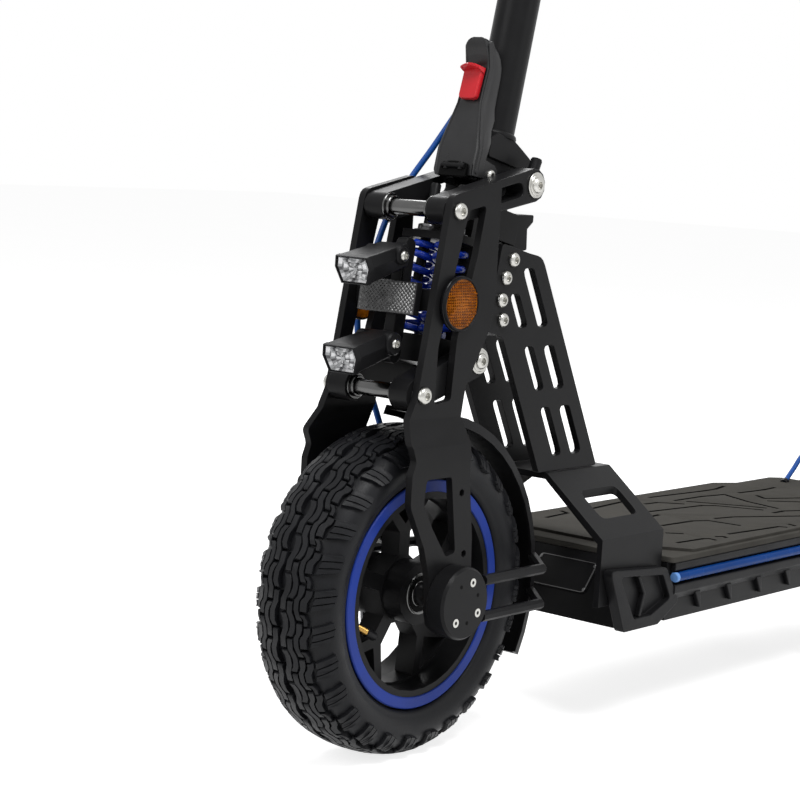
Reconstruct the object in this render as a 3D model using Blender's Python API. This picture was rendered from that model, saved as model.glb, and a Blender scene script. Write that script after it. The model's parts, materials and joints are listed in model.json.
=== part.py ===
"""Electric kick scooter with a linkage front fork, built as separate named pieces.

Metres, +Z up, +X forward, +Y to the rider's left.
The origin is on the ground, under the middle of the scooter's length and width.
Side-view points are (x, z) pairs measured from a wheel's axle.
"""
import math

import bmesh
import bpy
from mathutils import Matrix, Vector

# Clearances
GAP = 0.0003
PIN_GAP = 0.0004
OPEN_PIVOT_GAP = 0.0007
SIDE_GAP = 0.0007

# Mesh resolution
WHEEL_SIDES = 32
ROUND_SIDES = 20
PIN_SIDES = 16
ARC_STEPS = 3
SHARP_ANGLE = math.radians(35)
MERGE = 0.000002

# Wheels
TYRE_RADIUS = 0.1275
TYRE_HALF_WIDTH = 0.0372
TREAD_HALF_WIDTH = 0.0195
RIM_FLANGE = 0.007
RIM_HALF_WIDTH = 0.030
RIM_WALL = 0.0065
BARREL_RADIUS = 0.074
FLANGE_WIDTH = 0.004
BEAD_SLOPE = 0.002
TYRE_SECTION_RATIOS = ((0.28, 0.975), (0.60, 1.0), (0.85, 0.87))
AXLE_RADIUS = 0.006
WHEELBASE = 0.930

# Front wheel spokes and rotor
SPOKES = 5
SPOKE_HALF_THICKNESS = 0.009
SPOKE_HALF_WIDTH = 0.006
SPOKE_FORK_RADIUS = 0.045
SPOKE_FORK_ANGLE = math.radians(18)
SPOKE_LEG_ANGLE = math.radians(3.2)
HUB_RADIUS = 0.024
HUB_LEFT = 0.027
HUB_RIGHT = -0.0318
ROTOR_RADIUS = 0.055
ROTOR_THICKNESS = 0.0024
ROTOR_BORE = 0.0105
ROTOR_HOLES = 12
ROTOR_HOLE_RADIUS = 0.0025
ROTOR_HOLE_CIRCLE = 0.0475
ROTOR_WINDOWS = 5
ROTOR_WINDOW_INNER = 0.019
ROTOR_WINDOW_OUTER = 0.036
ROTOR_WINDOW_ANGLE = math.radians(25)

# Steering axis
RAKE = math.radians(12.5)
STEER_FOOT = -0.0129

# Front linkage pivots, from the front axle
UPPER_FRONT = (0.0025, 0.290)
UPPER_REAR = (-0.098, 0.311)
LOWER_FRONT = (0.032, 0.155)
LOWER_REAR = (-0.040, 0.177)
PIVOT_PIN_RADIUS = 0.006
UPPER_ARM_RADIUS = 0.013
UPPER_ARM_NOSE = 0.0108
LOWER_ARM_RADIUS = 0.012
ARM_INNER = 0.0213
ARM_SLOT = (0.56, 0.80)
ARM_SLOT_RADIUS = 0.0055
PIN_HEAD_RADIUS = 0.0085
PIN_HEAD_HEIGHT = 0.003
PIN_HEAD_CROWN = 0.0068

# Fork plates
FORK_INNER = 0.0395
PLATE_THICKNESS = 0.006
FORK_JOG = 0.0095
JOG_TOP = 0.137
JOG_BOTTOM = 0.118
FORK_OUTLINE = [
    (0.0105, 0.3015, 0.010), (-0.047, 0.3140, 0.004), (-0.047, 0.228, 0.02), (-0.043, 0.203, 0.02),
    (-0.017, 0.159, 0.02), (-0.0135, 0.137, 0.004), (-0.0165, 0.112, 0.004), (-0.017, 0.090, 0.02),
    (-0.0235, 0.046, 0.02), (-0.026, 0.0, 0.015), (-0.021, -0.025, 0.02), (0.021, -0.025, 0.02),
    (0.025, 0.020, 0.015), (0.033, 0.043, 0.015), (0.051, 0.075, 0.012), (0.051, 0.098, 0.006),
    (0.047, 0.108, 0.006), (0.0525, 0.121, 0.006), (0.0455, 0.140, 0.01), (0.0387, 0.153, 0.02),
]
FORK_UPPER_WINDOW = [
    (-0.0055, 0.2775, 0.003), (-0.0105, 0.291, 0.003), (-0.030, 0.295, 0.003), (-0.0225, 0.258, 0.02),
    (-0.0035, 0.196, 0.02), (0.0, 0.150, 0.003), (0.019, 0.1475, 0.003), (0.018, 0.190, 0.02),
]
FORK_LOWER_WINDOW = [
    (0.034, 0.094, 0.004), (0.005, 0.094, 0.003), (-0.004, 0.036, 0.003), (0.007, 0.034, 0.003),
    (0.0245, 0.057, 0.01), (0.036, 0.076, 0.01),
]
FORK_SMALL_HOLES = ((-0.008, 0.081), (-0.0145, 0.034))
SMALL_HOLE_RADIUS = 0.003
HUB_COVER_RADIUS = 0.0275
HUB_COVER_THICKNESS = 0.016
HUB_COVER_EDGE = 0.0016
AXLE_SHOULDER_RADIUS = 0.0095

# Lamps and reflectors on the fork
SIDE_REFLECTOR_RADIUS = 0.0205
SIDE_REFLECTOR_CENTRE = (-0.001, 0.222)
SIDE_REFLECTOR_THICKNESS = 0.0055
LAMP_BAR_HALF_WIDTH = 0.005
LAMP_BAR_RADIUS = 0.0062
LAMP_BAR_TOP = (0.0075, 0.262)
LAMP_BAR_BOTTOM = (0.0185, 0.180)
LAMP_BAND_HALF_DEPTH = 0.004
LAMP_BAND_MARGIN = 0.004
UPPER_LAMP_HEIGHT = 0.2565
LOWER_LAMP_HEIGHT = 0.1915
LAMP_TILT = math.radians(14)
LAMP_LENGTH = 0.045
LAMP_REAR_SCALE = 0.86
LENS_THICKNESS = 0.003
LENS_SCALE = 0.88
LAMP_FACE = [
    (0.0152, 0.0105, 0.002), (-0.0152, 0.0105, 0.002), (-0.0172, 0.002, 0.002),
    (-0.0125, -0.0105, 0.003), (0.0125, -0.0105, 0.003), (0.0172, 0.002, 0.002),
]
FRONT_REFLECTOR_HALF_WIDTH = 0.0275
FRONT_REFLECTOR_HEIGHT = (0.2115, 0.2355)
FRONT_REFLECTOR_THICKNESS = 0.008

# Front springs, in the steering frame
SPRING_X = 0.039
SPRING_Y = 0.0135
SPRING_LOW = 0.189
SPRING_HIGH = 0.2622
SPRING_RADIUS = 0.0109
SPRING_WIRE = 0.0045
SPRING_TURNS = 6
SPRING_POINTS_PER_TURN = 9
SEAT_THICKNESS = 0.006
SEAT_BAR_LENGTH = 0.030
SEAT_BAR_LOW = 0.168

# Steering column and head block, heights along the steering axis
COLUMN_RADIUS = 0.0125
COLUMN_LOW = 0.166
BUSH_WALL = 0.0024
HEAD_LOW = 0.2037
HEAD_HIGH = 0.2735
HEAD_FRONT_RADIUS = 0.020
HEAD_REAR = 0.034
CROWN_GAP = 0.002
CROWN_HIGH = 0.2995
CROWN_REAR = -0.028
CROWN_FRONT = 0.0275
CROWN_HALF_WIDTH = 0.0205
CROWN_WALL = 0.006
FOLD_LUG_HALF_WIDTH = 0.008
FOLD_LUG_RADIUS = 0.011
LOWER_LUG_RADIUS = 0.011

# Neck plates
NECK_INNER = 0.0213
NECK_OUTLINE = [
    (-0.076, 0.2655, 0.004), (-0.112, 0.2575, 0.02), (-0.1295, 0.2545, 0.014), (-0.2225, 0.0808, 0.002),
    (-0.142, 0.0808, 0.002), (-0.083, 0.193, 0.012), (-0.062, 0.1975, 0.004),
]
NECK_REAR_TOP = (-0.136, 0.246)
NECK_REAR_SLOPE = 0.534
NECK_SLOT_ROWS = ((0.246, 0.199), (0.184, 0.148), (0.134, 0.093))
NECK_SHORT_SLOT_TOP = 0.226
NECK_SLOT_COLUMNS = ((0.025, 0.0145), (0.0516, 0.0122))
NECK_SLOT_CORNER = 0.005

# Yoke between neck and deck
YOKE_FRONT = -0.150
YOKE_REAR = -0.238
YOKE_TOP = 0.0805
YOKE_SHOULDER = 0.030
YOKE_OUTER = 0.088
YOKE_BEND_HEIGHT = 0.0345
YOKE_FOOT = -0.020
YOKE_THICKNESS = 0.005
YOKE_BEND_DROP = 0.0037
YOKE_WINDOW_X = (-0.171, -0.2225)
YOKE_WINDOW_Y = (0.0475, 0.072)
YOKE_WINDOW_CORNER = 0.006

# Deck, from the front axle
DECK_TOP = 0.0065
DECK_BOTTOM = -0.042
DECK_NOSE_TOP = -0.222
DECK_NOSE_BOTTOM = -0.182
DECK_STEP = -0.2405
DECK_TO_AXLE = 0.215
DECK_HALF_WIDTH = 0.0925
DECK_TAIL_HALF_WIDTH = 0.078
DECK_TAPER = (0.103, 0.080)
DECK_NOSE_HALF_WIDTH = YOKE_OUTER - YOKE_THICKNESS - GAP
TRAY_WALL = 0.004
LID_THICKNESS = 0.005
LID_OVERHANG = 0.0055
LID_CORNER = 0.006
BATTERY_FRONT = -0.262
BATTERY_TAIL = 0.100
BATTERY_HALF_WIDTH = 0.072
BATTERY_HEIGHT = 0.044
CONTROLLER_LENGTH = 0.075
CONTROLLER_HEIGHT = 0.036
CAP_OUTER = 0.0975
CAP_TOP = 0.011
CAP_REAR = -0.2543
CAP_OUTLINE = [
    (-0.1745, DECK_BOTTOM, 0.004), (-0.2241, DECK_BOTTOM, 0.004), (CAP_REAR, -0.026, 0.004),
    (-0.2322, 0.0046, 0.004), (-0.1505, CAP_TOP, 0.004),
]
CAP_POCKET = [
    (-0.1885, -0.0325, 0.003), (-0.2130, -0.0325, 0.003), (-0.2405, -0.0220, 0.003),
    (-0.2275, -0.0010, 0.003), (-0.1650, 0.0045, 0.003),
]
CAP_POCKET_DEPTH = 0.006
LIGHT_TUBE_RADIUS = 0.004
LIGHT_TUBE_HEIGHT = -0.0055
LIGHT_TUBE_FRONT = -0.2485
LIGHT_TUBE_TAIL = 0.110

# Kick stand under the left edge of the deck
STAND_PIVOT = (-0.560, -0.053)
STAND_LUG_Y = (0.045, 0.060)
STAND_EYE_WIDTH = 0.015
STAND_EYE_RADIUS = 0.010
STAND_PIN_RADIUS = 0.005
STAND_LEG_RADIUS = 0.006
STAND_LEG_START = 0.0088
STAND_FOOT = (-0.512, 0.125)
STAND_FOOT_HEIGHT = 0.012
STAND_FOOT_LENGTH = 0.030
STAND_FOOT_WIDTH = 0.024

# Rear frame and wheel, from the rear axle
REAR_INNER = 0.0515
REAR_PLATE_FRONT = DECK_TO_AXLE - 0.0045
REAR_WINDOW_FRONT = DECK_TO_AXLE - 0.035
REAR_PLATE_OUTLINE = [
    (REAR_PLATE_FRONT, 0.0120, 0.002), (0.150, 0.0240, 0.03), (0.0, 0.0255, 0.02), (-0.026, 0.0, 0.018),
    (0.0, -0.0255, 0.02), (0.140, -0.034, 0.03), (REAR_PLATE_FRONT, -0.0360, 0.002),
]
REAR_PLATE_WINDOW = [
    (REAR_WINDOW_FRONT, 0.0, 0.006), (0.150, 0.010, 0.006), (0.080, 0.0095, 0.006), (0.080, -0.0115, 0.006),
    (0.150, -0.020, 0.006), (REAR_WINDOW_FRONT, -0.022, 0.006),
]
CROSS_BLOCK_LENGTH = 0.016
CROSS_BLOCK_HEIGHT = (-0.035, 0.011)
FOOTREST_HALF_WIDTH = 0.040
FOOTREST_THICKNESS = 0.005
FOOTREST_LOW = (DECK_TO_AXLE - 0.006, 0.0135)
FOOTREST_HIGH = (0.140, 0.0925)
MOTOR_HALF_WIDTH = 0.034
MOTOR_RADIUS = 0.064
BRAKE_PLATE_RADIUS = 0.045
BRAKE_PLATE_THICKNESS = 0.012
REAR_NUT_RADIUS = 0.011
REAR_NUT_HEIGHT = 0.0105
REAR_AXLE_TIP = 0.005

# Mudguards, as arcs measured from straight ahead and upwards
GUARD_CLEARANCE = 0.007
GUARD_THICKNESS = 0.003
GUARD_HALF_WIDTH = 0.033
GUARD_LIP = 0.0045
GUARD_LIP_FLARE = 0.002
GUARD_LIP_WALL = 0.0026
GUARD_STEPS = 14
FRONT_GUARD_ARC = (math.radians(98), math.radians(208))
REAR_GUARD_ARC = (math.radians(28), math.radians(166))
STAY_RADIUS = 0.0042
STAY_Y = 0.066
STAY_HEIGHT = 0.014
STAY_SIDES = 8
TAIL_ANGLE = math.radians(158)
TAIL_DEPTH = 0.014
TAIL_HALF_HEIGHT = 0.013
TAIL_HALF_WIDTH = 0.028

# Front brake caliper, by its angle round the wheel
CALIPER_ANGLE = math.radians(122)
CALIPER_INNER = 0.038
CALIPER_OUTER = 0.069
CALIPER_HALF_LENGTH = 0.018
CALIPER_LEFT = -0.0288
CALIPER_SLOT = 0.0016

# Stem, in the steering frame
STEM_RADIUS = 0.0168
STEM_WALL = 0.002
STEM_LOW = 0.338
STEM_HIGH = 1.010
BASE_REAR = -0.030
BASE_FRONT = 0.0245
BASE_LOW = 0.334
BASE_HIGH = 0.343
BASE_EAR_THICKNESS = 0.006
BASE_EAR_RADIUS = 0.0115
BASE_FOOT_FRONT = 0.008
BASE_FOOT_REAR = 0.002
BASE_CORNER = 0.003
LATCH_PIVOT = (0.0185, 0.320)
LATCH_PIN_RADIUS = 0.004
LATCH_EAR_RADIUS = 0.0093
LATCH_CHEEK_THICKNESS = 0.0057
LATCH_CHEEK_RADIUS = 0.009
LATCH_KNEE_RADIUS = 0.0054
LATCH_FRONT = ((0.0372, 0.345), (0.0335, 0.400))
LATCH_OUTLINE = [
    (0.0288, 0.3175, 0.002), (0.0376, 0.3165, 0.003), (0.0372, 0.345, 0.0), (0.0335, 0.400, 0.004),
    (0.0395, 0.4165, 0.003), (0.0365, 0.4215, 0.002), (0.0297, 0.4135, 0.006), (0.0262, 0.395, 0.01),
    (0.0282, 0.350, 0.01),
]
LATCH_WIDE = 0.0207
LATCH_NARROW = 0.0118
LATCH_TAPER = (0.336, 0.372)
BUTTON_CENTRE = 0.76
BUTTON_HALF_HEIGHT = 0.0125
BUTTON_HALF_WIDTH = 0.0085
BUTTON_THICKNESS = 0.005
BUTTON_LIP = 0.0055
BUTTON_LIP_HEIGHT = 0.004

# Handlebar and controls, in the steering frame
BAR_RISE = 0.022
BAR_RADIUS = 0.0125
BAR_HALF_LENGTH = 0.300
CLAMP_HALF_WIDTH = 0.026
CLAMP_HALF_LENGTH = 0.024
CLAMP_RISE = 0.020
GRIP_RADIUS = 0.0165
GRIP_LENGTH = 0.112
GRIP_COLLAR = 0.0185
PERCH_OFFSET = 0.016
PERCH_WIDTH = 0.022
PERCH_HALF_HEIGHT = 0.011
PERCH_REACH = 0.047
PERCH_WALL = 0.0037
PERCH_NOTCH = 0.0095
LEVER_PIVOT_X = 0.038
LEVER_EYE_RADIUS = 0.007
LEVER_HALF_THICKNESS = 0.0045
LEVER_OFFSET = 0.055
LEVER_TIP_INSET = 0.014
LEVER_BLADE = 0.0085
LEVER_WAIST = 0.0068
LEVER_BEND_RADIUS = 0.020
LEVER_TIP_RADIUS = 0.004
LEVER_PIN_RADIUS = 0.003
THROTTLE_OFFSET = 0.060
THROTTLE_WIDTH = 0.013
THROTTLE_RADIUS = 0.018
THROTTLE_LENGTH = 0.036
THROTTLE_BLADE = 0.005
DISPLAY_HALF_WIDTH = 0.044
DISPLAY_HALF_LENGTH = 0.027
DISPLAY_HEIGHT = 0.020
DISPLAY_CORNER = 0.010

# Cables
CABLE_RADIUS = 0.0025
CABLE_STEP = 0.0125
FRONT_CABLE_ROUTE = [
    (-0.0815, -0.0150, 0.3800), (-0.0760, -0.0235, 0.3660), (-0.0650, -0.0390, 0.3350),
    (-0.0555, -0.0520, 0.3100), (-0.0400, -0.0575, 0.2850), (-0.0260, -0.0600, 0.2500),
    (-0.0110, -0.0600, 0.2050), (-0.0150, -0.0560, 0.1650), (-0.0290, -0.0500, 0.1250),
]
REAR_CABLE_ROUTE = [
    (0.2445, -0.0540, 0.0142), (0.2281, -0.0540, 0.0265), (0.2116, -0.0535, 0.0400), (0.1830, -0.0490, 0.0570),
    (0.1450, -0.0460, 0.0620), (0.1050, -0.0460, 0.0540), (0.0700, -0.0445, 0.0390),
]

# Positions that follow from the sizes
BEAD_RADIUS = BARREL_RADIUS + RIM_WALL
RIM_RADIUS = BEAD_RADIUS + RIM_FLANGE
AXLE_Z = TYRE_RADIUS * math.cos(math.pi / WHEEL_SIDES)
GUARD_RADIUS = TYRE_RADIUS + GUARD_CLEARANCE
GUARD_OUTER = GUARD_RADIUS + GUARD_THICKNESS
TAIL_OUTER = GUARD_OUTER + GAP + TAIL_DEPTH
REAR_REACH = TAIL_HALF_HEIGHT * math.sin(TAIL_ANGLE) - TAIL_OUTER * math.cos(TAIL_ANGLE)
FRONT_X = (WHEELBASE + REAR_REACH - AXLE_Z) / 2
FORK_OUTER = FORK_INNER + PLATE_THICKNESS
LEG_INNER = FORK_INNER + FORK_JOG
LEG_OUTER = FORK_OUTER + FORK_JOG
ARM_OUTER = FORK_INNER - SIDE_GAP
NECK_OUTER = NECK_INNER + PLATE_THICKNESS
REAR_OUTER = REAR_INNER + PLATE_THICKNESS
DECK_REAR = DECK_TO_AXLE - WHEELBASE
BATTERY_REAR = DECK_REAR + BATTERY_TAIL
LIGHT_TUBE_REAR = DECK_REAR + LIGHT_TUBE_TAIL
LID_LOW = DECK_TOP + GAP
LID_HIGH = LID_LOW + LID_THICKNESS
CROWN_LOW = HEAD_HIGH + CROWN_GAP
BAR_HEIGHT = STEM_HIGH + BAR_RISE
GRIP_START = BAR_HALF_LENGTH - GRIP_LENGTH
PERCH_Y = (GRIP_START - PERCH_OFFSET - PERCH_WIDTH, GRIP_START - PERCH_OFFSET)
LEVER_PIVOT_Y = GRIP_START - PERCH_OFFSET - PERCH_WIDTH / 2
LEVER_TIP_Y = BAR_HALF_LENGTH - LEVER_TIP_INSET
THROTTLE_Y = GRIP_START - THROTTLE_OFFSET
EAR_INNER = FOLD_LUG_HALF_WIDTH + PIN_GAP
EAR_OUTER = EAR_INNER + BASE_EAR_THICKNESS
CHEEK_INNER = EAR_OUTER + GAP
CHEEK_OUTER = CHEEK_INNER + LATCH_CHEEK_THICKNESS
ROTOR_LEFT = HUB_RIGHT - PIN_GAP
ROTOR_RIGHT = ROTOR_LEFT - ROTOR_THICKNESS

FRONT = Matrix.Translation((FRONT_X, 0, AXLE_Z))
REAR = Matrix.Translation((FRONT_X - WHEELBASE, 0, AXLE_Z))
STEER = FRONT @ Matrix.Translation((STEER_FOOT, 0, 0)) @ Matrix.Rotation(-RAKE, 4, "Y")
ALONG_Y = Matrix.Rotation(-math.pi / 2, 4, "X")
CROSSWISE = Matrix.Rotation(math.pi / 2, 4, "Z")
SIDES = (("left", 1), ("right", -1))


# Looks

def look(name, colour, roughness, metallic):
    material = bpy.data.materials.new(name)
    material.use_nodes = True
    shader = material.node_tree.nodes["Principled BSDF"]
    shader.inputs["Base Color"].default_value = (*colour, 1)
    shader.inputs["Roughness"].default_value = roughness
    shader.inputs["Metallic"].default_value = metallic
    return material


def make_looks():
    return {
        "black": look("black_paint", (0.018, 0.018, 0.020), 0.42, 0.2),
        "steel": look("bright_steel", (0.62, 0.62, 0.60), 0.22, 1.0),
        "alloy": look("alloy", (0.30, 0.30, 0.31), 0.40, 0.9),
        "tyre": look("tyre_rubber", (0.020, 0.021, 0.024), 0.75, 0.0),
        "grip": look("grip_rubber", (0.025, 0.025, 0.026), 0.80, 0.0),
        "plastic": look("black_plastic", (0.022, 0.022, 0.024), 0.50, 0.0),
        "blue": look("blue_paint", (0.010, 0.045, 0.48), 0.35, 0.1),
        "cable": look("blue_cable", (0.008, 0.075, 0.34), 0.35, 0.0),
        "tube": look("light_tube", (0.015, 0.075, 0.52), 0.25, 0.0),
        "amber": look("amber_lens", (0.62, 0.16, 0.005), 0.20, 0.0),
        "clear": look("clear_lens", (0.75, 0.76, 0.78), 0.10, 0.0),
        "red": look("red_plastic", (0.70, 0.022, 0.030), 0.30, 0.0),
        "battery": look("battery_wrap", (0.03, 0.10, 0.22), 0.50, 0.0),
    }


# Outlines

def polar(radius, angle):
    return (radius * math.cos(angle), radius * math.sin(angle))


def circle(centre, radius, sides=PIN_SIDES):
    points = []
    for step in range(sides):
        x, z = polar(radius, math.tau * (step + 0.5) / sides)
        points.append((centre[0] + x, centre[1] + z))
    return points


def rounded(corners):
    """Round each (x, z, radius) corner of a closed outline with an arc."""
    points = []
    for index, (x, z, radius) in enumerate(corners):
        corner = Vector((x, z))
        before = Vector(corners[index - 1][:2]) - corner
        after = Vector(corners[(index + 1) % len(corners)][:2]) - corner
        half_angle = before.angle(after) / 2
        reach = radius / math.tan(half_angle)
        reach = min(reach, before.length / 2, after.length / 2)
        if reach == 0:
            points.append((x, z))
            continue
        start = corner + before.normalized() * reach
        end = corner + after.normalized() * reach
        for step in range(ARC_STEPS + 1):
            share = step / ARC_STEPS
            first = start.lerp(corner, share)
            second = corner.lerp(end, share)
            points.append(tuple(first.lerp(second, share)))
    return points


def capsule(start, end, start_radius, end_radius):
    """Outline round two circles of like size."""
    direction = math.atan2(end[1] - start[1], end[0] - start[0])
    points = []
    half_steps = ARC_STEPS * 2
    for centre, radius, first in ((end, end_radius, direction - math.pi / 2),
                                  (start, start_radius, direction + math.pi / 2)):
        for step in range(half_steps + 1):
            x, z = polar(radius, first + math.pi * step / half_steps)
            points.append((centre[0] + x, centre[1] + z))
    return points


def between(start, end, share):
    return (start[0] + (end[0] - start[0]) * share, start[1] + (end[1] - start[1]) * share)


def steer_local(point):
    """Turn a side-view point measured from the front axle into the steering frame."""
    x = point[0] - STEER_FOOT
    return (x * math.cos(RAKE) + point[1] * math.sin(RAKE), point[1] * math.cos(RAKE) - x * math.sin(RAKE))


# Solids

def loft(rings, closed=False):
    """Join rings of points one after another, closed into a loop or capped at both ends."""
    solid = bmesh.new()
    loops = [[solid.verts.new(point) for point in ring] for ring in rings]
    spans = len(loops) if closed else len(loops) - 1
    for index in range(spans):
        low = loops[index]
        high = loops[(index + 1) % len(loops)]
        for here in range(len(low)):
            there = (here + 1) % len(low)
            solid.faces.new((low[here], low[there], high[there], high[here]))
    if not closed:
        solid.faces.new(loops[0])
        solid.faces.new(loops[-1])
    bmesh.ops.recalc_face_normals(solid, faces=solid.faces)
    return solid


def turned(profile, frame, sides=ROUND_SIDES, bored=False):
    """Turn (radius, height) points about the frame's own Z axis."""
    rings = []
    for radius, height in profile:
        rings.append([(*point, height) for point in circle((0, 0), radius, sides)])
    solid = loft(rings, closed=bored)
    solid.transform(frame)
    return solid


def pipe(inner, outer, low, high, frame):
    """Round pipe between two heights on the frame's own Z axis."""
    profile = [(inner, low), (inner, high), (outer, high), (outer, low)]
    return turned(profile, frame, bored=True)


def slab(outline, low, high, frame, holes=()):
    """Sheet with holes: an (x, z) outline, as thick as low to high along the frame's Y."""
    solid = bmesh.new()
    loops = []
    edges = []
    for loop in (outline, *holes):
        verts = [solid.verts.new((x, low, z)) for x, z in loop]
        edges += [solid.edges.new(pair) for pair in zip(verts, verts[1:] + verts[:1])]
        loops.append(verts)
    bmesh.ops.triangle_fill(solid, use_beauty=True, edges=edges)
    near_faces = solid.faces[:]
    twins = {vert: solid.verts.new((vert.co.x, high, vert.co.z)) for vert in solid.verts[:]}
    for face in near_faces:
        solid.faces.new([twins[vert] for vert in reversed(face.verts)])
    for verts in loops:
        for first, second in zip(verts, verts[1:] + verts[:1]):
            solid.faces.new((first, second, twins[second], twins[first]))
    bmesh.ops.recalc_face_normals(solid, faces=solid.faces)
    solid.transform(frame)
    return solid


def cross_slab(outline, low, high, frame, holes=()):
    """As slab, for a (y, z) outline that is thick along X."""
    return slab(outline, -high, -low, frame @ CROSSWISE, holes)


def plan_slab(outline, low, high, frame, holes=()):
    """As slab, for an (x, y) outline that is thick along Z."""
    return slab(outline, -high, -low, frame @ ALONG_Y, holes)


def box(low, high, frame):
    corners = [(low[0], low[1]), (high[0], low[1]), (high[0], high[1]), (low[0], high[1])]
    solid = loft([[(*corner, height) for corner in corners] for height in (low[2], high[2])])
    solid.transform(frame)
    return solid


def rod(points, radius, sides, frame):
    """Straight-sided tube through a few points, with flat ends square to its first and last runs."""
    path = [Vector(point) for point in points]
    rings = []
    for index, centre in enumerate(path):
        ahead = path[min(index + 1, len(path) - 1)] - path[max(index - 1, 0)]
        turn = ahead.to_track_quat("Z", "Y").to_matrix()
        rings.append([centre + turn @ Vector((*point, 0)) for point in circle((0, 0), radius, sides)])
    solid = loft(rings)
    solid.transform(frame)
    return solid


def blank(solid, name):
    mesh = bpy.data.meshes.new(name)
    solid.to_mesh(mesh)
    solid.free()
    item = bpy.data.objects.new(name, mesh)
    bpy.context.scene.collection.objects.link(item)
    return item


def combine(base, tool, operation):
    """Boolean of two solids, as one new solid."""
    base_item = blank(base, "base")
    tool_item = blank(tool, "tool")
    modifier = base_item.modifiers.new("combine", "BOOLEAN")
    modifier.operation = operation
    modifier.object = tool_item
    modifier.solver = "EXACT"
    result = bmesh.new()
    result.from_object(base_item, bpy.context.evaluated_depsgraph_get())
    bmesh.ops.remove_doubles(result, verts=result.verts, dist=MERGE)
    bmesh.ops.dissolve_degenerate(result, dist=MERGE, edges=result.edges)
    for item in (base_item, tool_item):
        mesh = item.data
        bpy.data.objects.remove(item)
        bpy.data.meshes.remove(mesh)
    return result


def union(*solids):
    result = solids[0]
    for solid in solids[1:]:
        result = combine(result, solid, "UNION")
    return result


def cut(base, *tools):
    for tool in tools:
        base = combine(base, tool, "DIFFERENCE")
    return base


# Objects

def axis_empty(name, place, parent=None):
    """Empty on a joint's axis, which carries the pieces that turn there."""
    empty = bpy.data.objects.new(name, None)
    bpy.context.scene.collection.objects.link(empty)
    empty.location = place
    bpy.context.view_layer.update()
    if parent is not None:
        attach(empty, parent)
    return empty


def attach(item, parent):
    item.parent = parent
    item.matrix_parent_inverse = parent.matrix_world.inverted()
    bpy.context.view_layer.update()


def piece(name, solid, material, axis):
    item = blank(solid, name)
    item.data.materials.append(material)
    item.data.shade_smooth()
    item.data.set_sharp_from_angle(angle=SHARP_ANGLE)
    attach(item, axis)


def wire(name, points, radius, resolution, material, axis):
    """Round wire or cable along a list of points."""
    curve = bpy.data.curves.new(name, "CURVE")
    curve.dimensions = "3D"
    spline = curve.splines.new("POLY")
    spline.points.add(len(points) - 1)
    for target, point in zip(spline.points, points):
        target.co = (*point, 1)
    curve.bevel_depth = radius
    curve.bevel_resolution = resolution
    curve.use_fill_caps = True
    curve.materials.append(material)
    item = bpy.data.objects.new(name, curve)
    bpy.context.scene.collection.objects.link(item)
    attach(item, axis)


def world(frame, x, y, z):
    return frame @ Vector((x, y, z))


def side_span(side, inner, outer):
    """Low and high Y of a piece that spans inner to outer on one side."""
    return (inner, outer) if side > 0 else (-outer, -inner)


def make_axes():
    """The tree of joints, as empties."""
    chassis = axis_empty("chassis", (0, 0, 0))
    axes = {"chassis": chassis}
    axes["steering"] = axis_empty("steering_axis", world(STEER, 0, 0, HEAD_LOW), chassis)
    for name, point, parent in (("upper_link", UPPER_REAR, "steering"), ("stem", UPPER_REAR, "steering"),
                                ("lower_link", LOWER_REAR, "steering"), ("fork", LOWER_FRONT, "lower_link"),
                                ("front_wheel", (0, 0), "fork")):
        axes[name] = axis_empty(name + "_axis", world(FRONT, point[0], 0, point[1]), axes[parent])
    axes["latch"] = axis_empty("latch_axis", world(STEER, LATCH_PIVOT[0], 0, LATCH_PIVOT[1]), axes["stem"])
    axes["button"] = axis_empty("button_axis", world(STEER, *button_place()), axes["latch"])
    for side_name, side in SIDES:
        place = world(STEER, LEVER_PIVOT_X, side * LEVER_PIVOT_Y, BAR_HEIGHT)
        axes["lever_" + side_name] = axis_empty("brake_lever_axis_" + side_name, place, axes["stem"])
    axes["throttle"] = axis_empty("throttle_axis", world(STEER, 0, -THROTTLE_Y, BAR_HEIGHT), axes["stem"])
    axes["rear_wheel"] = axis_empty("rear_wheel_axis", world(REAR, 0, 0, 0), chassis)
    axes["stand"] = axis_empty("stand_axis", world(FRONT, STAND_PIVOT[0], 0, STAND_PIVOT[1]), chassis)
    return axes


# Front fork

def jogged(solid, side):
    """Bend a flat fork plate outwards below the upper pivots, to clear the tyre."""
    for height in (JOG_TOP, JOG_BOTTOM):
        parts = solid.verts[:] + solid.edges[:] + solid.faces[:]
        bmesh.ops.bisect_plane(solid, geom=parts, dist=MERGE, plane_co=(0, 0, height), plane_no=(0, 0, 1))
    for vert in solid.verts:
        share = (JOG_TOP - vert.co.z) / (JOG_TOP - JOG_BOTTOM)
        vert.co.y += side * FORK_JOG * min(max(share, 0), 1)
    solid.transform(FRONT)
    return solid


def pin_profile(half_length, radius):
    """Shaft with a domed button head at each end, along its own axis."""
    head = [(PIN_HEAD_CROWN, half_length + PIN_HEAD_HEIGHT),
            (PIN_HEAD_RADIUS, half_length + PIN_HEAD_HEIGHT / 2),
            (PIN_HEAD_RADIUS, half_length), (radius, half_length)]
    return [(r, -h) for r, h in head] + [(r, h) for r, h in reversed(head)]


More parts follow.
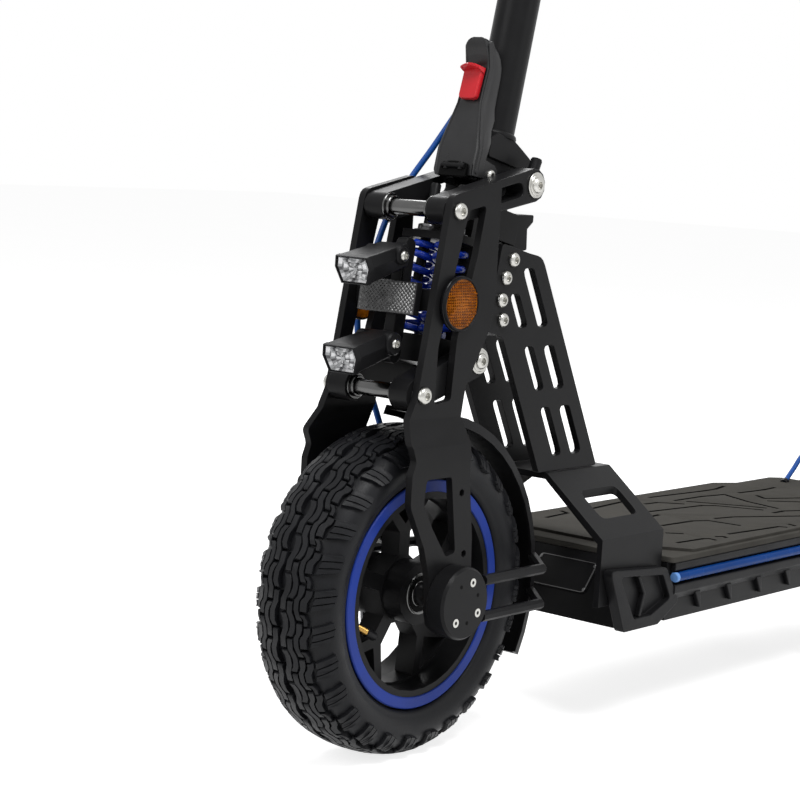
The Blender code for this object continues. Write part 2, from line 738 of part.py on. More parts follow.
def make_fork(looks, axis):
    hole = PIVOT_PIN_RADIUS + PIN_GAP
    for side_name, side in SIDES:
        holes = [rounded(FORK_UPPER_WINDOW), rounded(FORK_LOWER_WINDOW)]
        holes += [circle(UPPER_FRONT, hole), circle(LOWER_FRONT, hole), circle((0, 0), AXLE_RADIUS + PIN_GAP)]
        holes += [circle(place, SMALL_HOLE_RADIUS, ARC_STEPS * 2) for place in FORK_SMALL_HOLES]
        low, high = side_span(side, FORK_INNER, FORK_OUTER)
        plate = jogged(slab(rounded(FORK_OUTLINE), low, high, Matrix(), holes), side)
        piece("fork_plate_" + side_name, plate, looks["black"], axis)
    for name, place in (("upper_shaft", UPPER_FRONT), ("lower_shaft", LOWER_FRONT)):
        frame = FRONT @ Matrix.Translation((place[0], 0, place[1])) @ ALONG_Y
        profile = pin_profile(FORK_OUTER + GAP, PIVOT_PIN_RADIUS)
        piece(name, turned(profile, frame, PIN_SIDES), looks["steel"], axis)
    make_axle(looks, axis)
    make_lamps(looks, axis)
    make_caliper(looks, axis)
    guard = mudguard(FRONT, FRONT_GUARD_ARC)
    inner_edge = STAY_HEIGHT - STAY_RADIUS
    start = math.sqrt(HUB_COVER_RADIUS ** 2 - inner_edge ** 2) + 2 * GAP
    for side_name, side in SIDES:
        for level in (STAY_HEIGHT, -STAY_HEIGHT):
            end = -math.sqrt(GUARD_RADIUS ** 2 - level ** 2)
            path = [(-start, side * STAY_Y, level), (end + STAY_Y - GUARD_HALF_WIDTH, side * STAY_Y, level),
                    (end, side * GUARD_HALF_WIDTH, level)]
            guard = union(guard, rod(path, STAY_RADIUS, STAY_SIDES, FRONT))
    piece("front_mudguard", guard, looks["plastic"], axis)


def make_axle(looks, axis):
    left = HUB_LEFT + GAP
    right = ROTOR_RIGHT - GAP
    stop = LEG_INNER - GAP
    profile = [(AXLE_RADIUS, -LEG_OUTER), (AXLE_RADIUS, -stop), (AXLE_SHOULDER_RADIUS, -stop),
               (AXLE_SHOULDER_RADIUS, right), (AXLE_RADIUS, right), (AXLE_RADIUS, left),
               (AXLE_SHOULDER_RADIUS, left), (AXLE_SHOULDER_RADIUS, stop), (AXLE_RADIUS, stop),
               (AXLE_RADIUS, LEG_OUTER)]
    piece("front_axle", turned(profile, FRONT @ ALONG_Y, PIN_SIDES), looks["alloy"], axis)
    near = LEG_OUTER + GAP
    far = near + HUB_COVER_THICKNESS
    for side_name, side in SIDES:
        profile = [(HUB_COVER_RADIUS, side * near), (HUB_COVER_RADIUS, side * (far - HUB_COVER_EDGE)),
                   (HUB_COVER_RADIUS - HUB_COVER_EDGE, side * far)]
        piece("hub_cover_" + side_name, turned(profile, FRONT @ ALONG_Y), looks["black"], axis)


def mudguard(frame, arc):
    """Curved strip with short side lips, swept round the wheel."""
    edge = GUARD_RADIUS - GUARD_LIP
    half = GUARD_HALF_WIDTH
    lip = half + GUARD_LIP_FLARE
    inner_half = half - GUARD_LIP_WALL
    inner_lip = lip - GUARD_LIP_WALL
    profile = [(edge, lip), (GUARD_OUTER, half), (GUARD_OUTER, -half), (edge, -lip), (edge, -inner_lip),
               (GUARD_RADIUS, -inner_half), (GUARD_RADIUS, inner_half), (edge, inner_lip)]
    rings = []
    for step in range(GUARD_STEPS + 1):
        angle = arc[0] + (arc[1] - arc[0]) * step / GUARD_STEPS
        rings.append([(r * math.cos(angle), y, r * math.sin(angle)) for r, y in profile])
    solid = loft(rings)
    solid.transform(frame)
    return solid


def make_caliper(looks, axis):
    turn = FRONT @ Matrix.Rotation(-CALIPER_ANGLE, 4, "Y")
    body = box((CALIPER_INNER, -LEG_INNER + GAP, -CALIPER_HALF_LENGTH),
               (CALIPER_OUTER, CALIPER_LEFT, CALIPER_HALF_LENGTH), turn)
    slot_radius = ROTOR_RADIUS + CALIPER_SLOT
    slot = turned([(slot_radius, ROTOR_RIGHT - CALIPER_SLOT), (slot_radius, ROTOR_LEFT + CALIPER_SLOT)],
                  FRONT @ ALONG_Y, WHEEL_SIDES)
    piece("front_caliper", cut(body, slot), looks["black"], axis)


def lamp_bar_slope():
    """Forward reach of the lamp bar's middle run for each unit that it drops."""
    top, bottom = LAMP_BAR_TOP, LAMP_BAR_BOTTOM
    return (bottom[0] - top[0]) / (top[1] - bottom[1])


def lamp_bar_front(height):
    """X of the lamp bar's front edge at a height on its long middle run."""
    top = LAMP_BAR_TOP
    return top[0] + (top[1] - height) * lamp_bar_slope() + LAMP_BAR_RADIUS


def make_lamps(looks, axis):
    half = LAMP_BAR_HALF_WIDTH
    run = capsule(LAMP_BAR_BOTTOM, LAMP_BAR_TOP, LAMP_BAR_RADIUS, LAMP_BAR_RADIUS)
    low, high = FRONT_REFLECTOR_HEIGHT
    middle = lamp_bar_front((low + high) / 2) - LAMP_BAR_RADIUS
    reach = FORK_INNER - GAP
    band = box((middle - LAMP_BAND_HALF_DEPTH, -reach, low + LAMP_BAND_MARGIN),
               (middle + LAMP_BAND_HALF_DEPTH, reach, high - LAMP_BAND_MARGIN), FRONT)
    bar = union(slab(run, -half, half, FRONT), band)
    for name, height in (("upper", UPPER_LAMP_HEIGHT), ("lower", LOWER_LAMP_HEIGHT)):
        make_headlight(looks, axis, "headlight_" + name, (lamp_bar_front(height), height))
    piece("lamp_bracket", bar, looks["black"], axis)
    for side_name, side in SIDES:
        near = FORK_OUTER + GAP
        edge = SIDE_REFLECTOR_THICKNESS / 3
        far = near + SIDE_REFLECTOR_THICKNESS
        frame = FRONT @ Matrix.Translation((SIDE_REFLECTOR_CENTRE[0], 0, SIDE_REFLECTOR_CENTRE[1])) @ ALONG_Y
        profile = [(SIDE_REFLECTOR_RADIUS, side * near), (SIDE_REFLECTOR_RADIUS, side * (far - edge)),
                   (SIDE_REFLECTOR_RADIUS - edge, side * far)]
        piece("side_reflector_" + side_name, turned(profile, frame), looks["amber"], axis)
    low, high = FRONT_REFLECTOR_HEIGHT
    lean = math.atan(lamp_bar_slope())
    middle = (low + high) / 2
    frame = FRONT @ Matrix.Translation((lamp_bar_front(middle), 0, middle)) @ Matrix.Rotation(-lean, 4, "Y")
    half = (high - low) / 2
    plate = box((2 * GAP, -FRONT_REFLECTOR_HALF_WIDTH, -half),
                (2 * GAP + FRONT_REFLECTOR_THICKNESS, FRONT_REFLECTOR_HALF_WIDTH, half), frame)
    piece("front_reflector", plate, looks["clear"], axis)


def make_headlight(looks, axis, name, tip):
    """Housing that widens to its front face, with a separate lens, nose tilted down."""
    frame = FRONT @ Matrix.Translation((tip[0], 0, tip[1])) @ Matrix.Rotation(LAMP_TILT, 4, "Y")
    face = rounded(LAMP_FACE)
    rear_half_height = LAMP_FACE[0][1] * LAMP_REAR_SCALE
    start = 2 * GAP + rear_half_height * (math.tan(LAMP_TILT) + lamp_bar_slope())
    rings = []
    for reach, scale in ((start, LAMP_REAR_SCALE), (start + LAMP_LENGTH, 1)):
        rings.append([(reach, y * scale, z * scale) for y, z in face])
    body = loft(rings)
    body.transform(frame)
    piece(name, body, looks["plastic"], axis)
    near = start + LAMP_LENGTH + GAP
    rings = []
    for reach in (near, near + LENS_THICKNESS):
        rings.append([(reach, y * LENS_SCALE, z * LENS_SCALE) for y, z in face])
    lens = loft(rings)
    lens.transform(frame)
    piece(name + "_lens", lens, looks["clear"], axis)


# Wheels

def tyre(frame):
    bead = BEAD_RADIUS + GAP
    bead_half = RIM_HALF_WIDTH - FLANGE_WIDTH - BEAD_SLOPE - GAP
    clear = RIM_RADIUS + 2 * GAP
    depth = TYRE_RADIUS - RIM_RADIUS
    half = [(bead, bead_half), (clear, RIM_HALF_WIDTH - FLANGE_WIDTH - GAP),
            (clear + GAP, RIM_HALF_WIDTH + GAP)]
    for rise, width in TYRE_SECTION_RATIOS:
        half.append((RIM_RADIUS + depth * rise, TYRE_HALF_WIDTH * width))
    half.append((TYRE_RADIUS, TREAD_HALF_WIDTH))
    return turned(mirrored(half), frame @ ALONG_Y, WHEEL_SIDES, bored=True)


def rim_half():
    """Outer half of the rim's section, from its flange to the bead seat."""
    return [(RIM_RADIUS, RIM_HALF_WIDTH), (RIM_RADIUS, RIM_HALF_WIDTH - FLANGE_WIDTH),
            (BEAD_RADIUS, RIM_HALF_WIDTH - FLANGE_WIDTH - BEAD_SLOPE)]


def mirrored(half):
    return half + [(radius, -height) for radius, height in reversed(half)]


def fan(inner, outer, start, end):
    """Opening between two radii and two angles."""
    points = []
    for radius, first, last in ((inner, start, end), (outer, end, start)):
        for step in range(ARC_STEPS + 1):
            points.append(polar(radius, first + (last - first) * step / ARC_STEPS))
    return points


def spoke_windows():
    pitch = math.tau / SPOKES
    inner = HUB_RADIUS + SPOKE_HALF_WIDTH / 2
    outer = BARREL_RADIUS - SPOKE_HALF_WIDTH / 3
    leg = SPOKE_FORK_ANGLE + SPOKE_LEG_ANGLE
    stem_inner = math.asin(SPOKE_HALF_WIDTH / inner)
    stem_outer = math.asin(SPOKE_HALF_WIDTH / SPOKE_FORK_RADIUS)
    windows = []
    for index in range(SPOKES):
        base = math.pi / 2 + pitch * index
        last = base + pitch
        opening = [polar(SPOKE_FORK_RADIUS, base + stem_outer), polar(inner, base + stem_inner),
                   polar(inner, last - stem_inner), polar(SPOKE_FORK_RADIUS, last - stem_outer)]
        for step in range(ARC_STEPS + 1):
            angle = last - leg - (pitch - 2 * leg) * step / ARC_STEPS
            opening.append(polar(outer, angle))
        windows.append(opening)
        reach = SPOKE_FORK_ANGLE - SPOKE_LEG_ANGLE
        windows.append([polar(SPOKE_FORK_RADIUS + SPOKE_HALF_WIDTH, base), polar(outer, base + reach),
                        polar(outer, base), polar(outer, base - reach)])
    return windows


def make_front_wheel(looks, axis):
    piece("front_tyre", tyre(FRONT), looks["tyre"], axis)
    barrel = [(BARREL_RADIUS, -RIM_HALF_WIDTH), (BARREL_RADIUS, RIM_HALF_WIDTH)]
    ring = turned(barrel + mirrored(rim_half()), FRONT @ ALONG_Y, WHEEL_SIDES, bored=True)
    bore = AXLE_RADIUS + PIN_GAP
    hub = pipe(bore, HUB_RADIUS, HUB_RIGHT, HUB_LEFT, FRONT @ ALONG_Y)
    rim_overlap = (BARREL_RADIUS + BEAD_RADIUS) / 2
    hub_overlap = (bore + HUB_RADIUS) / 2
    openings = [circle((0, 0), hub_overlap)] + spoke_windows()
    spider = slab(circle((0, 0), rim_overlap, WHEEL_SIDES), -SPOKE_HALF_THICKNESS, SPOKE_HALF_THICKNESS,
                  FRONT, openings)
    piece("front_rim", union(ring, spider, hub), looks["black"], axis)
    holes = [circle((0, 0), ROTOR_BORE)]
    for index in range(ROTOR_HOLES):
        centre = polar(ROTOR_HOLE_CIRCLE, math.tau * index / ROTOR_HOLES)
        holes.append(circle(centre, ROTOR_HOLE_RADIUS, ARC_STEPS + 2))
    for index in range(ROTOR_WINDOWS):
        middle = math.tau * index / ROTOR_WINDOWS
        holes.append(fan(ROTOR_WINDOW_INNER, ROTOR_WINDOW_OUTER, middle - ROTOR_WINDOW_ANGLE,
                         middle + ROTOR_WINDOW_ANGLE))
    rotor = slab(circle((0, 0), ROTOR_RADIUS, WHEEL_SIDES), ROTOR_RIGHT, ROTOR_LEFT, FRONT, holes)
    piece("front_rotor", rotor, looks["steel"], axis)


# Front linkage

def make_links(looks, axes):
    slot_front, slot_rear = [between(UPPER_FRONT, UPPER_REAR, share) for share in ARM_SLOT]
    slot = capsule(slot_front, slot_rear, ARM_SLOT_RADIUS, ARM_SLOT_RADIUS)
    pivot = PIVOT_PIN_RADIUS + PIN_GAP
    for side_name, side in SIDES:
        low, high = side_span(side, ARM_INNER, ARM_OUTER)
        outline = capsule(UPPER_REAR, UPPER_FRONT, UPPER_ARM_RADIUS, UPPER_ARM_NOSE)
        holes = [slot, circle(UPPER_REAR, pivot), circle(UPPER_FRONT, PIVOT_PIN_RADIUS + OPEN_PIVOT_GAP)]
        arm = slab(outline, low, high, FRONT, holes)
        piece("upper_link_" + side_name, arm, looks["black"], axes["upper_link"])
    reach = SPRING_Y + SPRING_RADIUS + SPRING_WIRE / 2
    half = SEAT_BAR_LENGTH / 2
    link = box((SPRING_X - half, -reach, SEAT_BAR_LOW), (SPRING_X + half, reach, SPRING_LOW - GAP), STEER)
    for side_name, side in SIDES:
        low, high = side_span(side, ARM_INNER, ARM_OUTER)
        outline = capsule(LOWER_REAR, LOWER_FRONT, LOWER_ARM_RADIUS, LOWER_ARM_RADIUS)
        arm = slab(outline, low, high, FRONT, [circle(LOWER_REAR, pivot), circle(LOWER_FRONT, pivot)])
        link = union(link, arm)
    piece("lower_link", link, looks["black"], axes["lower_link"])


def least_gap(points, diameter, skip):
    """Least free distance of a wound wire to itself, leaving out its nearest neighbours."""
    distances = []
    for first in range(len(points)):
        for second in range(first + skip, len(points)):
            distances.append((points[first] - points[second]).length)
    return min(distances) - diameter


def make_springs(looks, axis):
    length = SPRING_HIGH - SPRING_LOW
    rise = length - 2 * SPRING_WIRE
    count = SPRING_TURNS * SPRING_POINTS_PER_TURN
    for side_name, side in SIDES:
        points = [Vector((SPRING_RADIUS, 0, 0))]
        for step in range(count + 1):
            x, y = polar(SPRING_RADIUS, math.tau * step / SPRING_POINTS_PER_TURN)
            points.append(Vector((x, side * y, SPRING_WIRE + rise * step / count)))
        points.append(Vector((SPRING_RADIUS, 0, length)))
        frame = STEER @ Matrix.Translation((SPRING_X, side * SPRING_Y, SPRING_LOW))
        gap = least_gap(points, SPRING_WIRE, SPRING_POINTS_PER_TURN // 2)
        print("spring_" + side_name, "least gap to itself", round(gap * 1000, 2), "mm")
        path = [frame @ point for point in points]
        wire("spring_" + side_name, path, SPRING_WIRE / 2, 1, looks["blue"], axis)


def make_steering(looks, axis, chassis):
    fold = steer_local(UPPER_REAR)
    lower = steer_local(LOWER_REAR)
    column = turned([(COLUMN_RADIUS, COLUMN_LOW), (COLUMN_RADIUS, CROWN_LOW + CROWN_WALL)], STEER)
    crown = box((CROWN_REAR, -CROWN_HALF_WIDTH, CROWN_LOW),
                (CROWN_FRONT, CROWN_HALF_WIDTH, CROWN_HIGH), STEER)
    lug = slab(capsule((fold[0], CROWN_LOW + FOLD_LUG_RADIUS), fold, FOLD_LUG_RADIUS, FOLD_LUG_RADIUS),
               -FOLD_LUG_HALF_WIDTH, FOLD_LUG_HALF_WIDTH, STEER)
    seat_low = SPRING_HIGH + GAP
    seat_half = SPRING_Y + SPRING_RADIUS + SPRING_WIRE / 2
    seat_front = SPRING_X + SPRING_RADIUS + SPRING_WIRE / 2
    wall_x = CROWN_FRONT - CROWN_WALL
    inset = CROWN_HALF_WIDTH - GAP
    wall = box((wall_x, -inset, seat_low + GAP), (CROWN_FRONT - GAP, inset, CROWN_HIGH - GAP), STEER)
    seat = box((wall_x + GAP, -seat_half, seat_low),
               (seat_front, seat_half, seat_low + SEAT_THICKNESS), STEER)
    lower_lug = slab(capsule((0, lower[1]), lower, COLUMN_RADIUS, LOWER_LUG_RADIUS),
                     -CROWN_HALF_WIDTH, CROWN_HALF_WIDTH, STEER)
    solid = union(column, crown, lug, wall, seat, lower_lug)
    bores = []
    for place in (fold, lower):
        frame = STEER @ Matrix.Translation((place[0], 0, place[1])) @ ALONG_Y
        radius = PIVOT_PIN_RADIUS + GAP
        bores.append(turned([(radius, -ARM_OUTER), (radius, ARM_OUTER)], frame, PIN_SIDES))
    piece("steering_column", cut(solid, *bores), looks["black"], axis)
    for name, place in (("fold_pin", UPPER_REAR), ("lower_link_pin", LOWER_REAR)):
        frame = FRONT @ Matrix.Translation((place[0], 0, place[1])) @ ALONG_Y
        pin = turned(pin_profile(ARM_OUTER + GAP, PIVOT_PIN_RADIUS), frame, PIN_SIDES)
        piece(name, pin, looks["steel"], axis)
    make_head(looks, chassis)


def make_head(looks, axis):
    bush_inner = COLUMN_RADIUS + PIN_GAP
    bush_outer = bush_inner + BUSH_WALL
    piece("headset_bush", pipe(bush_inner, bush_outer, HEAD_LOW, HEAD_HIGH, STEER), looks["alloy"], axis)
    barrel = turned([(HEAD_FRONT_RADIUS, HEAD_LOW), (HEAD_FRONT_RADIUS, HEAD_HIGH)], STEER)
    half = NECK_INNER - GAP
    block = box((-HEAD_REAR, -half, HEAD_LOW + GAP), (-GAP, half, HEAD_HIGH - GAP), STEER)
    radius = bush_outer + GAP
    bore = turned([(radius, HEAD_LOW - CROWN_GAP), (radius, HEAD_HIGH + CROWN_GAP)], STEER)
    piece("head_block", cut(union(barrel, block), bore), looks["black"], axis)


# Stem and latch

def base_ear():
    """Side view of a stem base ear, from the fold pin to the latch pin."""
    fold = steer_local(UPPER_REAR)
    foot = CROWN_HIGH + GAP
    return [
        (BASE_REAR, BASE_HIGH - GAP, BASE_CORNER), (BASE_FRONT - GAP, BASE_HIGH - GAP, BASE_CORNER),
        (LATCH_PIVOT[0] + LATCH_EAR_RADIUS, LATCH_PIVOT[1] + LATCH_EAR_RADIUS, LATCH_EAR_RADIUS),
        (LATCH_PIVOT[0] + LATCH_EAR_RADIUS, LATCH_PIVOT[1] - LATCH_EAR_RADIUS, LATCH_EAR_RADIUS),
        (LATCH_PIVOT[0] - LATCH_EAR_RADIUS, LATCH_PIVOT[1] - LATCH_EAR_RADIUS, BASE_CORNER),
        (BASE_FOOT_FRONT, foot, BASE_CORNER), (BASE_FOOT_REAR, foot, BASE_CORNER),
        (fold[0] + BASE_EAR_RADIUS, fold[1] - BASE_EAR_RADIUS, BASE_CORNER),
        (fold[0] - BASE_EAR_RADIUS, fold[1] - BASE_EAR_RADIUS, BASE_EAR_RADIUS),
    ]


def make_stem(looks, axis):
    fold = steer_local(UPPER_REAR)
    tube = pipe(STEM_RADIUS - STEM_WALL, STEM_RADIUS, STEM_LOW, STEM_HIGH, STEER)
    plate = box((BASE_REAR, -EAR_OUTER - GAP, BASE_LOW), (BASE_FRONT, EAR_OUTER + GAP, BASE_HIGH), STEER)
    bore = circle(fold, PIVOT_PIN_RADIUS + PIN_GAP)
    solid = union(tube, plate)
    for side_name, side in SIDES:
        low, high = side_span(side, EAR_INNER, EAR_OUTER)
        solid = union(solid, slab(rounded(base_ear()), low, high, STEER, [bore]))
    pin_frame = STEER @ Matrix.Translation((LATCH_PIVOT[0], 0, LATCH_PIVOT[1])) @ ALONG_Y
    pin = turned([(LATCH_PIN_RADIUS, -CHEEK_OUTER), (LATCH_PIN_RADIUS, CHEEK_OUTER)], pin_frame, PIN_SIDES)
    piece("stem", union(solid, pin), looks["black"], axis)


def button_place():
    """Point on the latch lever's front face behind the middle of the button, in the steering frame."""
    x, z = between(LATCH_FRONT[0], LATCH_FRONT[1], BUTTON_CENTRE)
    return (x, 0, z)


def make_latch(looks, axes):
    solid = slab(rounded(LATCH_OUTLINE), -LATCH_WIDE, LATCH_WIDE, Matrix())
    for height in LATCH_TAPER:
        parts = solid.verts[:] + solid.edges[:] + solid.faces[:]
        bmesh.ops.bisect_plane(solid, geom=parts, dist=MERGE, plane_co=(0, 0, height), plane_no=(0, 0, 1))
    for vert in solid.verts:
        share = (vert.co.z - LATCH_TAPER[0]) / (LATCH_TAPER[1] - LATCH_TAPER[0])
        narrowing = (1 - LATCH_NARROW / LATCH_WIDE) * min(max(share, 0), 1)
        vert.co.y *= 1 - narrowing
    solid.transform(STEER)
    knee = (LATCH_OUTLINE[0][0] + LATCH_CHEEK_RADIUS / 3, LATCH_PIVOT[1] + LATCH_KNEE_RADIUS)
    cheek = capsule(LATCH_PIVOT, knee, LATCH_CHEEK_RADIUS, LATCH_KNEE_RADIUS)
    hole = [circle(LATCH_PIVOT, LATCH_PIN_RADIUS + PIN_GAP)]
    for side_name, side in SIDES:
        low, high = side_span(side, CHEEK_INNER, CHEEK_OUTER)
        solid = union(solid, slab(cheek, low, high, STEER, hole))
    piece("latch_lever", solid, looks["plastic"], axes["latch"])
    run = Vector(LATCH_FRONT[1]) - Vector(LATCH_FRONT[0])
    frame = STEER @ Matrix.Translation(button_place()) @ Matrix.Rotation(math.atan2(run.x, run.y), 4, "Y")
    back = GAP * 2
    front = back + BUTTON_THICKNESS
    top = BUTTON_HALF_HEIGHT
    outline = [(back, -top), (front, -top + GAP), (front, top - BUTTON_LIP_HEIGHT),
               (front + BUTTON_LIP, top - BUTTON_LIP_HEIGHT / 2), (front + BUTTON_LIP, top), (back, top)]
    button = slab(outline, -BUTTON_HALF_WIDTH, BUTTON_HALF_WIDTH, frame)
    piece("latch_button", button, looks["red"], axes["button"])


# Handlebar and controls

def make_handlebar(looks, axes):
    axis = axes["stem"]
    frame = STEER @ Matrix.Translation((0, 0, BAR_HEIGHT))
    bar = turned([(BAR_RADIUS, -BAR_HALF_LENGTH + GAP), (BAR_RADIUS, BAR_HALF_LENGTH - GAP)], frame @ ALONG_Y)
    clamp = box((-CLAMP_HALF_LENGTH, -CLAMP_HALF_WIDTH, STEM_HIGH + GAP - BAR_HEIGHT),
                (CLAMP_HALF_LENGTH, CLAMP_HALF_WIDTH, CLAMP_RISE), frame)
    bar = union(bar, clamp)
    for side_name, side in SIDES:
        low, high = side_span(side, *PERCH_Y)
        perch = box((-BAR_RADIUS - PERCH_WALL, low, -PERCH_HALF_HEIGHT - PERCH_WALL),
                    (PERCH_REACH, high, PERCH_HALF_HEIGHT + PERCH_WALL), frame)
        mouth = LEVER_HALF_THICKNESS + PIN_GAP
        notch = box((LEVER_PIVOT_X - PERCH_NOTCH, low - GAP, -mouth),
                    (PERCH_REACH + GAP, high + GAP, mouth), frame)
        pin = turned([(LEVER_PIN_RADIUS, -PERCH_HALF_HEIGHT), (LEVER_PIN_RADIUS, PERCH_HALF_HEIGHT)],
                     frame @ Matrix.Translation((LEVER_PIVOT_X, side * LEVER_PIVOT_Y, 0)), PIN_SIDES)
        bar = union(bar, union(cut(perch, notch), pin))
        make_grip(looks, axis, side_name, side)
        make_lever(looks, axes["lever_" + side_name], side_name, side)
    piece("handlebar", bar, looks["black"], axis)
    display_low = CLAMP_RISE + GAP
    corners = []
    for x, y in ((-1, -1), (1, -1), (1, 1), (-1, 1)):
        corners.append((x * DISPLAY_HALF_LENGTH, y * DISPLAY_HALF_WIDTH, DISPLAY_CORNER))
    display = plan_slab(rounded(corners), display_low, display_low + DISPLAY_HEIGHT, frame)
    piece("display", display, looks["plastic"], axis)
    make_throttle(looks, axes["throttle"])


def make_grip(looks, axis, side_name, side):
    frame = STEER @ Matrix.Translation((0, 0, BAR_HEIGHT)) @ ALONG_Y
    inner = BAR_RADIUS + GAP
    collar_end = GRIP_START + GRIP_COLLAR
    slope_start = collar_end - GRIP_COLLAR / 2
    profile = [(inner, GRIP_START), (inner, BAR_HALF_LENGTH), (GRIP_RADIUS, BAR_HALF_LENGTH),
               (GRIP_RADIUS, collar_end), (GRIP_COLLAR, slope_start), (GRIP_COLLAR, GRIP_START)]
    profile = [(radius, side * height) for radius, height in profile]
    piece("grip_" + side_name, turned(profile, frame, bored=True), looks["grip"], axis)


def make_lever(looks, axis, side_name, side):
    """Two-finger blade that swings about an upright pin in its perch."""
    pivot = (LEVER_PIVOT_X, LEVER_PIVOT_Y)
    elbow = (LEVER_OFFSET, LEVER_PIVOT_Y + LEVER_OFFSET - LEVER_PIVOT_X + LEVER_EYE_RADIUS)
    corners = [(pivot[0] - LEVER_EYE_RADIUS, pivot[1] - LEVER_EYE_RADIUS, LEVER_EYE_RADIUS),
               (pivot[0] + LEVER_EYE_RADIUS, pivot[1] - LEVER_EYE_RADIUS, LEVER_EYE_RADIUS),
               (elbow[0] + LEVER_BLADE, elbow[1] - LEVER_BLADE, LEVER_BEND_RADIUS),
               (LEVER_OFFSET + LEVER_WAIST, LEVER_TIP_Y - LEVER_BLADE, LEVER_TIP_RADIUS),
               (LEVER_OFFSET + LEVER_BLADE, LEVER_TIP_Y, LEVER_TIP_RADIUS),
               (LEVER_OFFSET, LEVER_TIP_Y, LEVER_TIP_RADIUS), (elbow[0], elbow[1], LEVER_BEND_RADIUS),
               (pivot[0] - LEVER_EYE_RADIUS, pivot[1] + LEVER_EYE_RADIUS, LEVER_EYE_RADIUS)]
    outline = [(x, side * y) for x, y in rounded(corners)]
    hole = circle((pivot[0], side * pivot[1]), LEVER_PIN_RADIUS + PIN_GAP)
    frame = STEER @ Matrix.Translation((0, 0, BAR_HEIGHT))
    solid = plan_slab(outline, -LEVER_HALF_THICKNESS, LEVER_HALF_THICKNESS, frame, [hole])
    piece("brake_lever_" + side_name, solid, looks["alloy"], axis)


def make_throttle(looks, axis):
    frame = STEER @ Matrix.Translation((0, -THROTTLE_Y, BAR_HEIGHT))
    half = THROTTLE_WIDTH / 2
    inner = BAR_RADIUS + PIN_GAP
    ring = pipe(inner, THROTTLE_RADIUS, -half, half, frame @ ALONG_Y)
    root = (inner + THROTTLE_RADIUS) / 2
    edge = THROTTLE_BLADE / 2
    outline = rounded([(edge, -root + edge / 2, 0), (-THROTTLE_LENGTH, -root - THROTTLE_BLADE, edge),
                       (-THROTTLE_LENGTH, -root - 2 * THROTTLE_BLADE, edge), (edge, -root - edge / 2, 0)])
    paddle = slab(outline, -half + GAP, half - GAP, frame)
    piece("throttle_paddle", union(ring, paddle), looks["plastic"], axis)


# Frame and deck

def make_neck(looks, axis):
    slots = []
    for row, (top, bottom) in enumerate(NECK_SLOT_ROWS):
        for column, (offset, width) in enumerate(NECK_SLOT_COLUMNS):
            start = NECK_SHORT_SLOT_TOP if row == 0 and column == 1 else top
            corners = []
            for height, edge in ((start, 1), (start, -1), (bottom, -1), (bottom, 1)):
                rear = NECK_REAR_TOP[0] - (NECK_REAR_TOP[1] - height) * NECK_REAR_SLOPE
                corners.append((rear + offset + edge * width / 2, height, NECK_SLOT_CORNER))
            slots.append(rounded(corners))
    for side_name, side in SIDES:
        low, high = side_span(side, NECK_INNER, NECK_OUTER)
        plate = slab(rounded(NECK_OUTLINE), low, high, FRONT, slots)
        piece("neck_plate_" + side_name, plate, looks["black"], axis)


def make_yoke(looks, axis):
    """Folded plate that stands astride the front of the deck."""
    drop = YOKE_TOP - GAP
    wall = YOKE_THICKNESS
    outer = [(YOKE_OUTER, YOKE_FOOT), (YOKE_OUTER, YOKE_BEND_HEIGHT), (YOKE_SHOULDER, drop)]
    inner = [(YOKE_SHOULDER - YOKE_BEND_DROP / 2, drop - wall),
             (YOKE_OUTER - wall, YOKE_BEND_HEIGHT - YOKE_BEND_DROP), (YOKE_OUTER - wall, YOKE_FOOT)]
    left = outer + [(-y, z) for y, z in reversed(outer)]
    under = [(-y, z) for y, z in reversed(inner)] + inner
    yoke = cross_slab(left + under, YOKE_REAR, YOKE_FRONT, FRONT)
    for side_name, side in SIDES:
        corners = []
        for x, y in ((0, 0), (1, 0), (1, 1), (0, 1)):
            corners.append((YOKE_WINDOW_X[x], side * YOKE_WINDOW_Y[y], YOKE_WINDOW_CORNER))
        window = plan_slab(rounded(corners), YOKE_FOOT, YOKE_TOP + wall, FRONT)
        yoke = cut(yoke, window)
    piece("deck_yoke", yoke, looks["black"], axis)


def deck_plan(inset):
    """Plan of the deck: a narrow nose between the yoke's feet, the full width, then a narrower tail."""
    nose = DECK_NOSE_HALF_WIDTH - inset
    full = DECK_HALF_WIDTH - inset
    rear = DECK_REAR + inset
    front = DECK_NOSE_BOTTOM - inset
    step = DECK_STEP - inset
    tail = DECK_TAIL_HALF_WIDTH - inset
    wide, narrow = [DECK_REAR + share for share in DECK_TAPER]
    half = [(front, nose), (step, nose), (step, full), (wide, full), (narrow, tail), (rear, tail)]
    return half + [(x, -y) for x, y in reversed(half)]


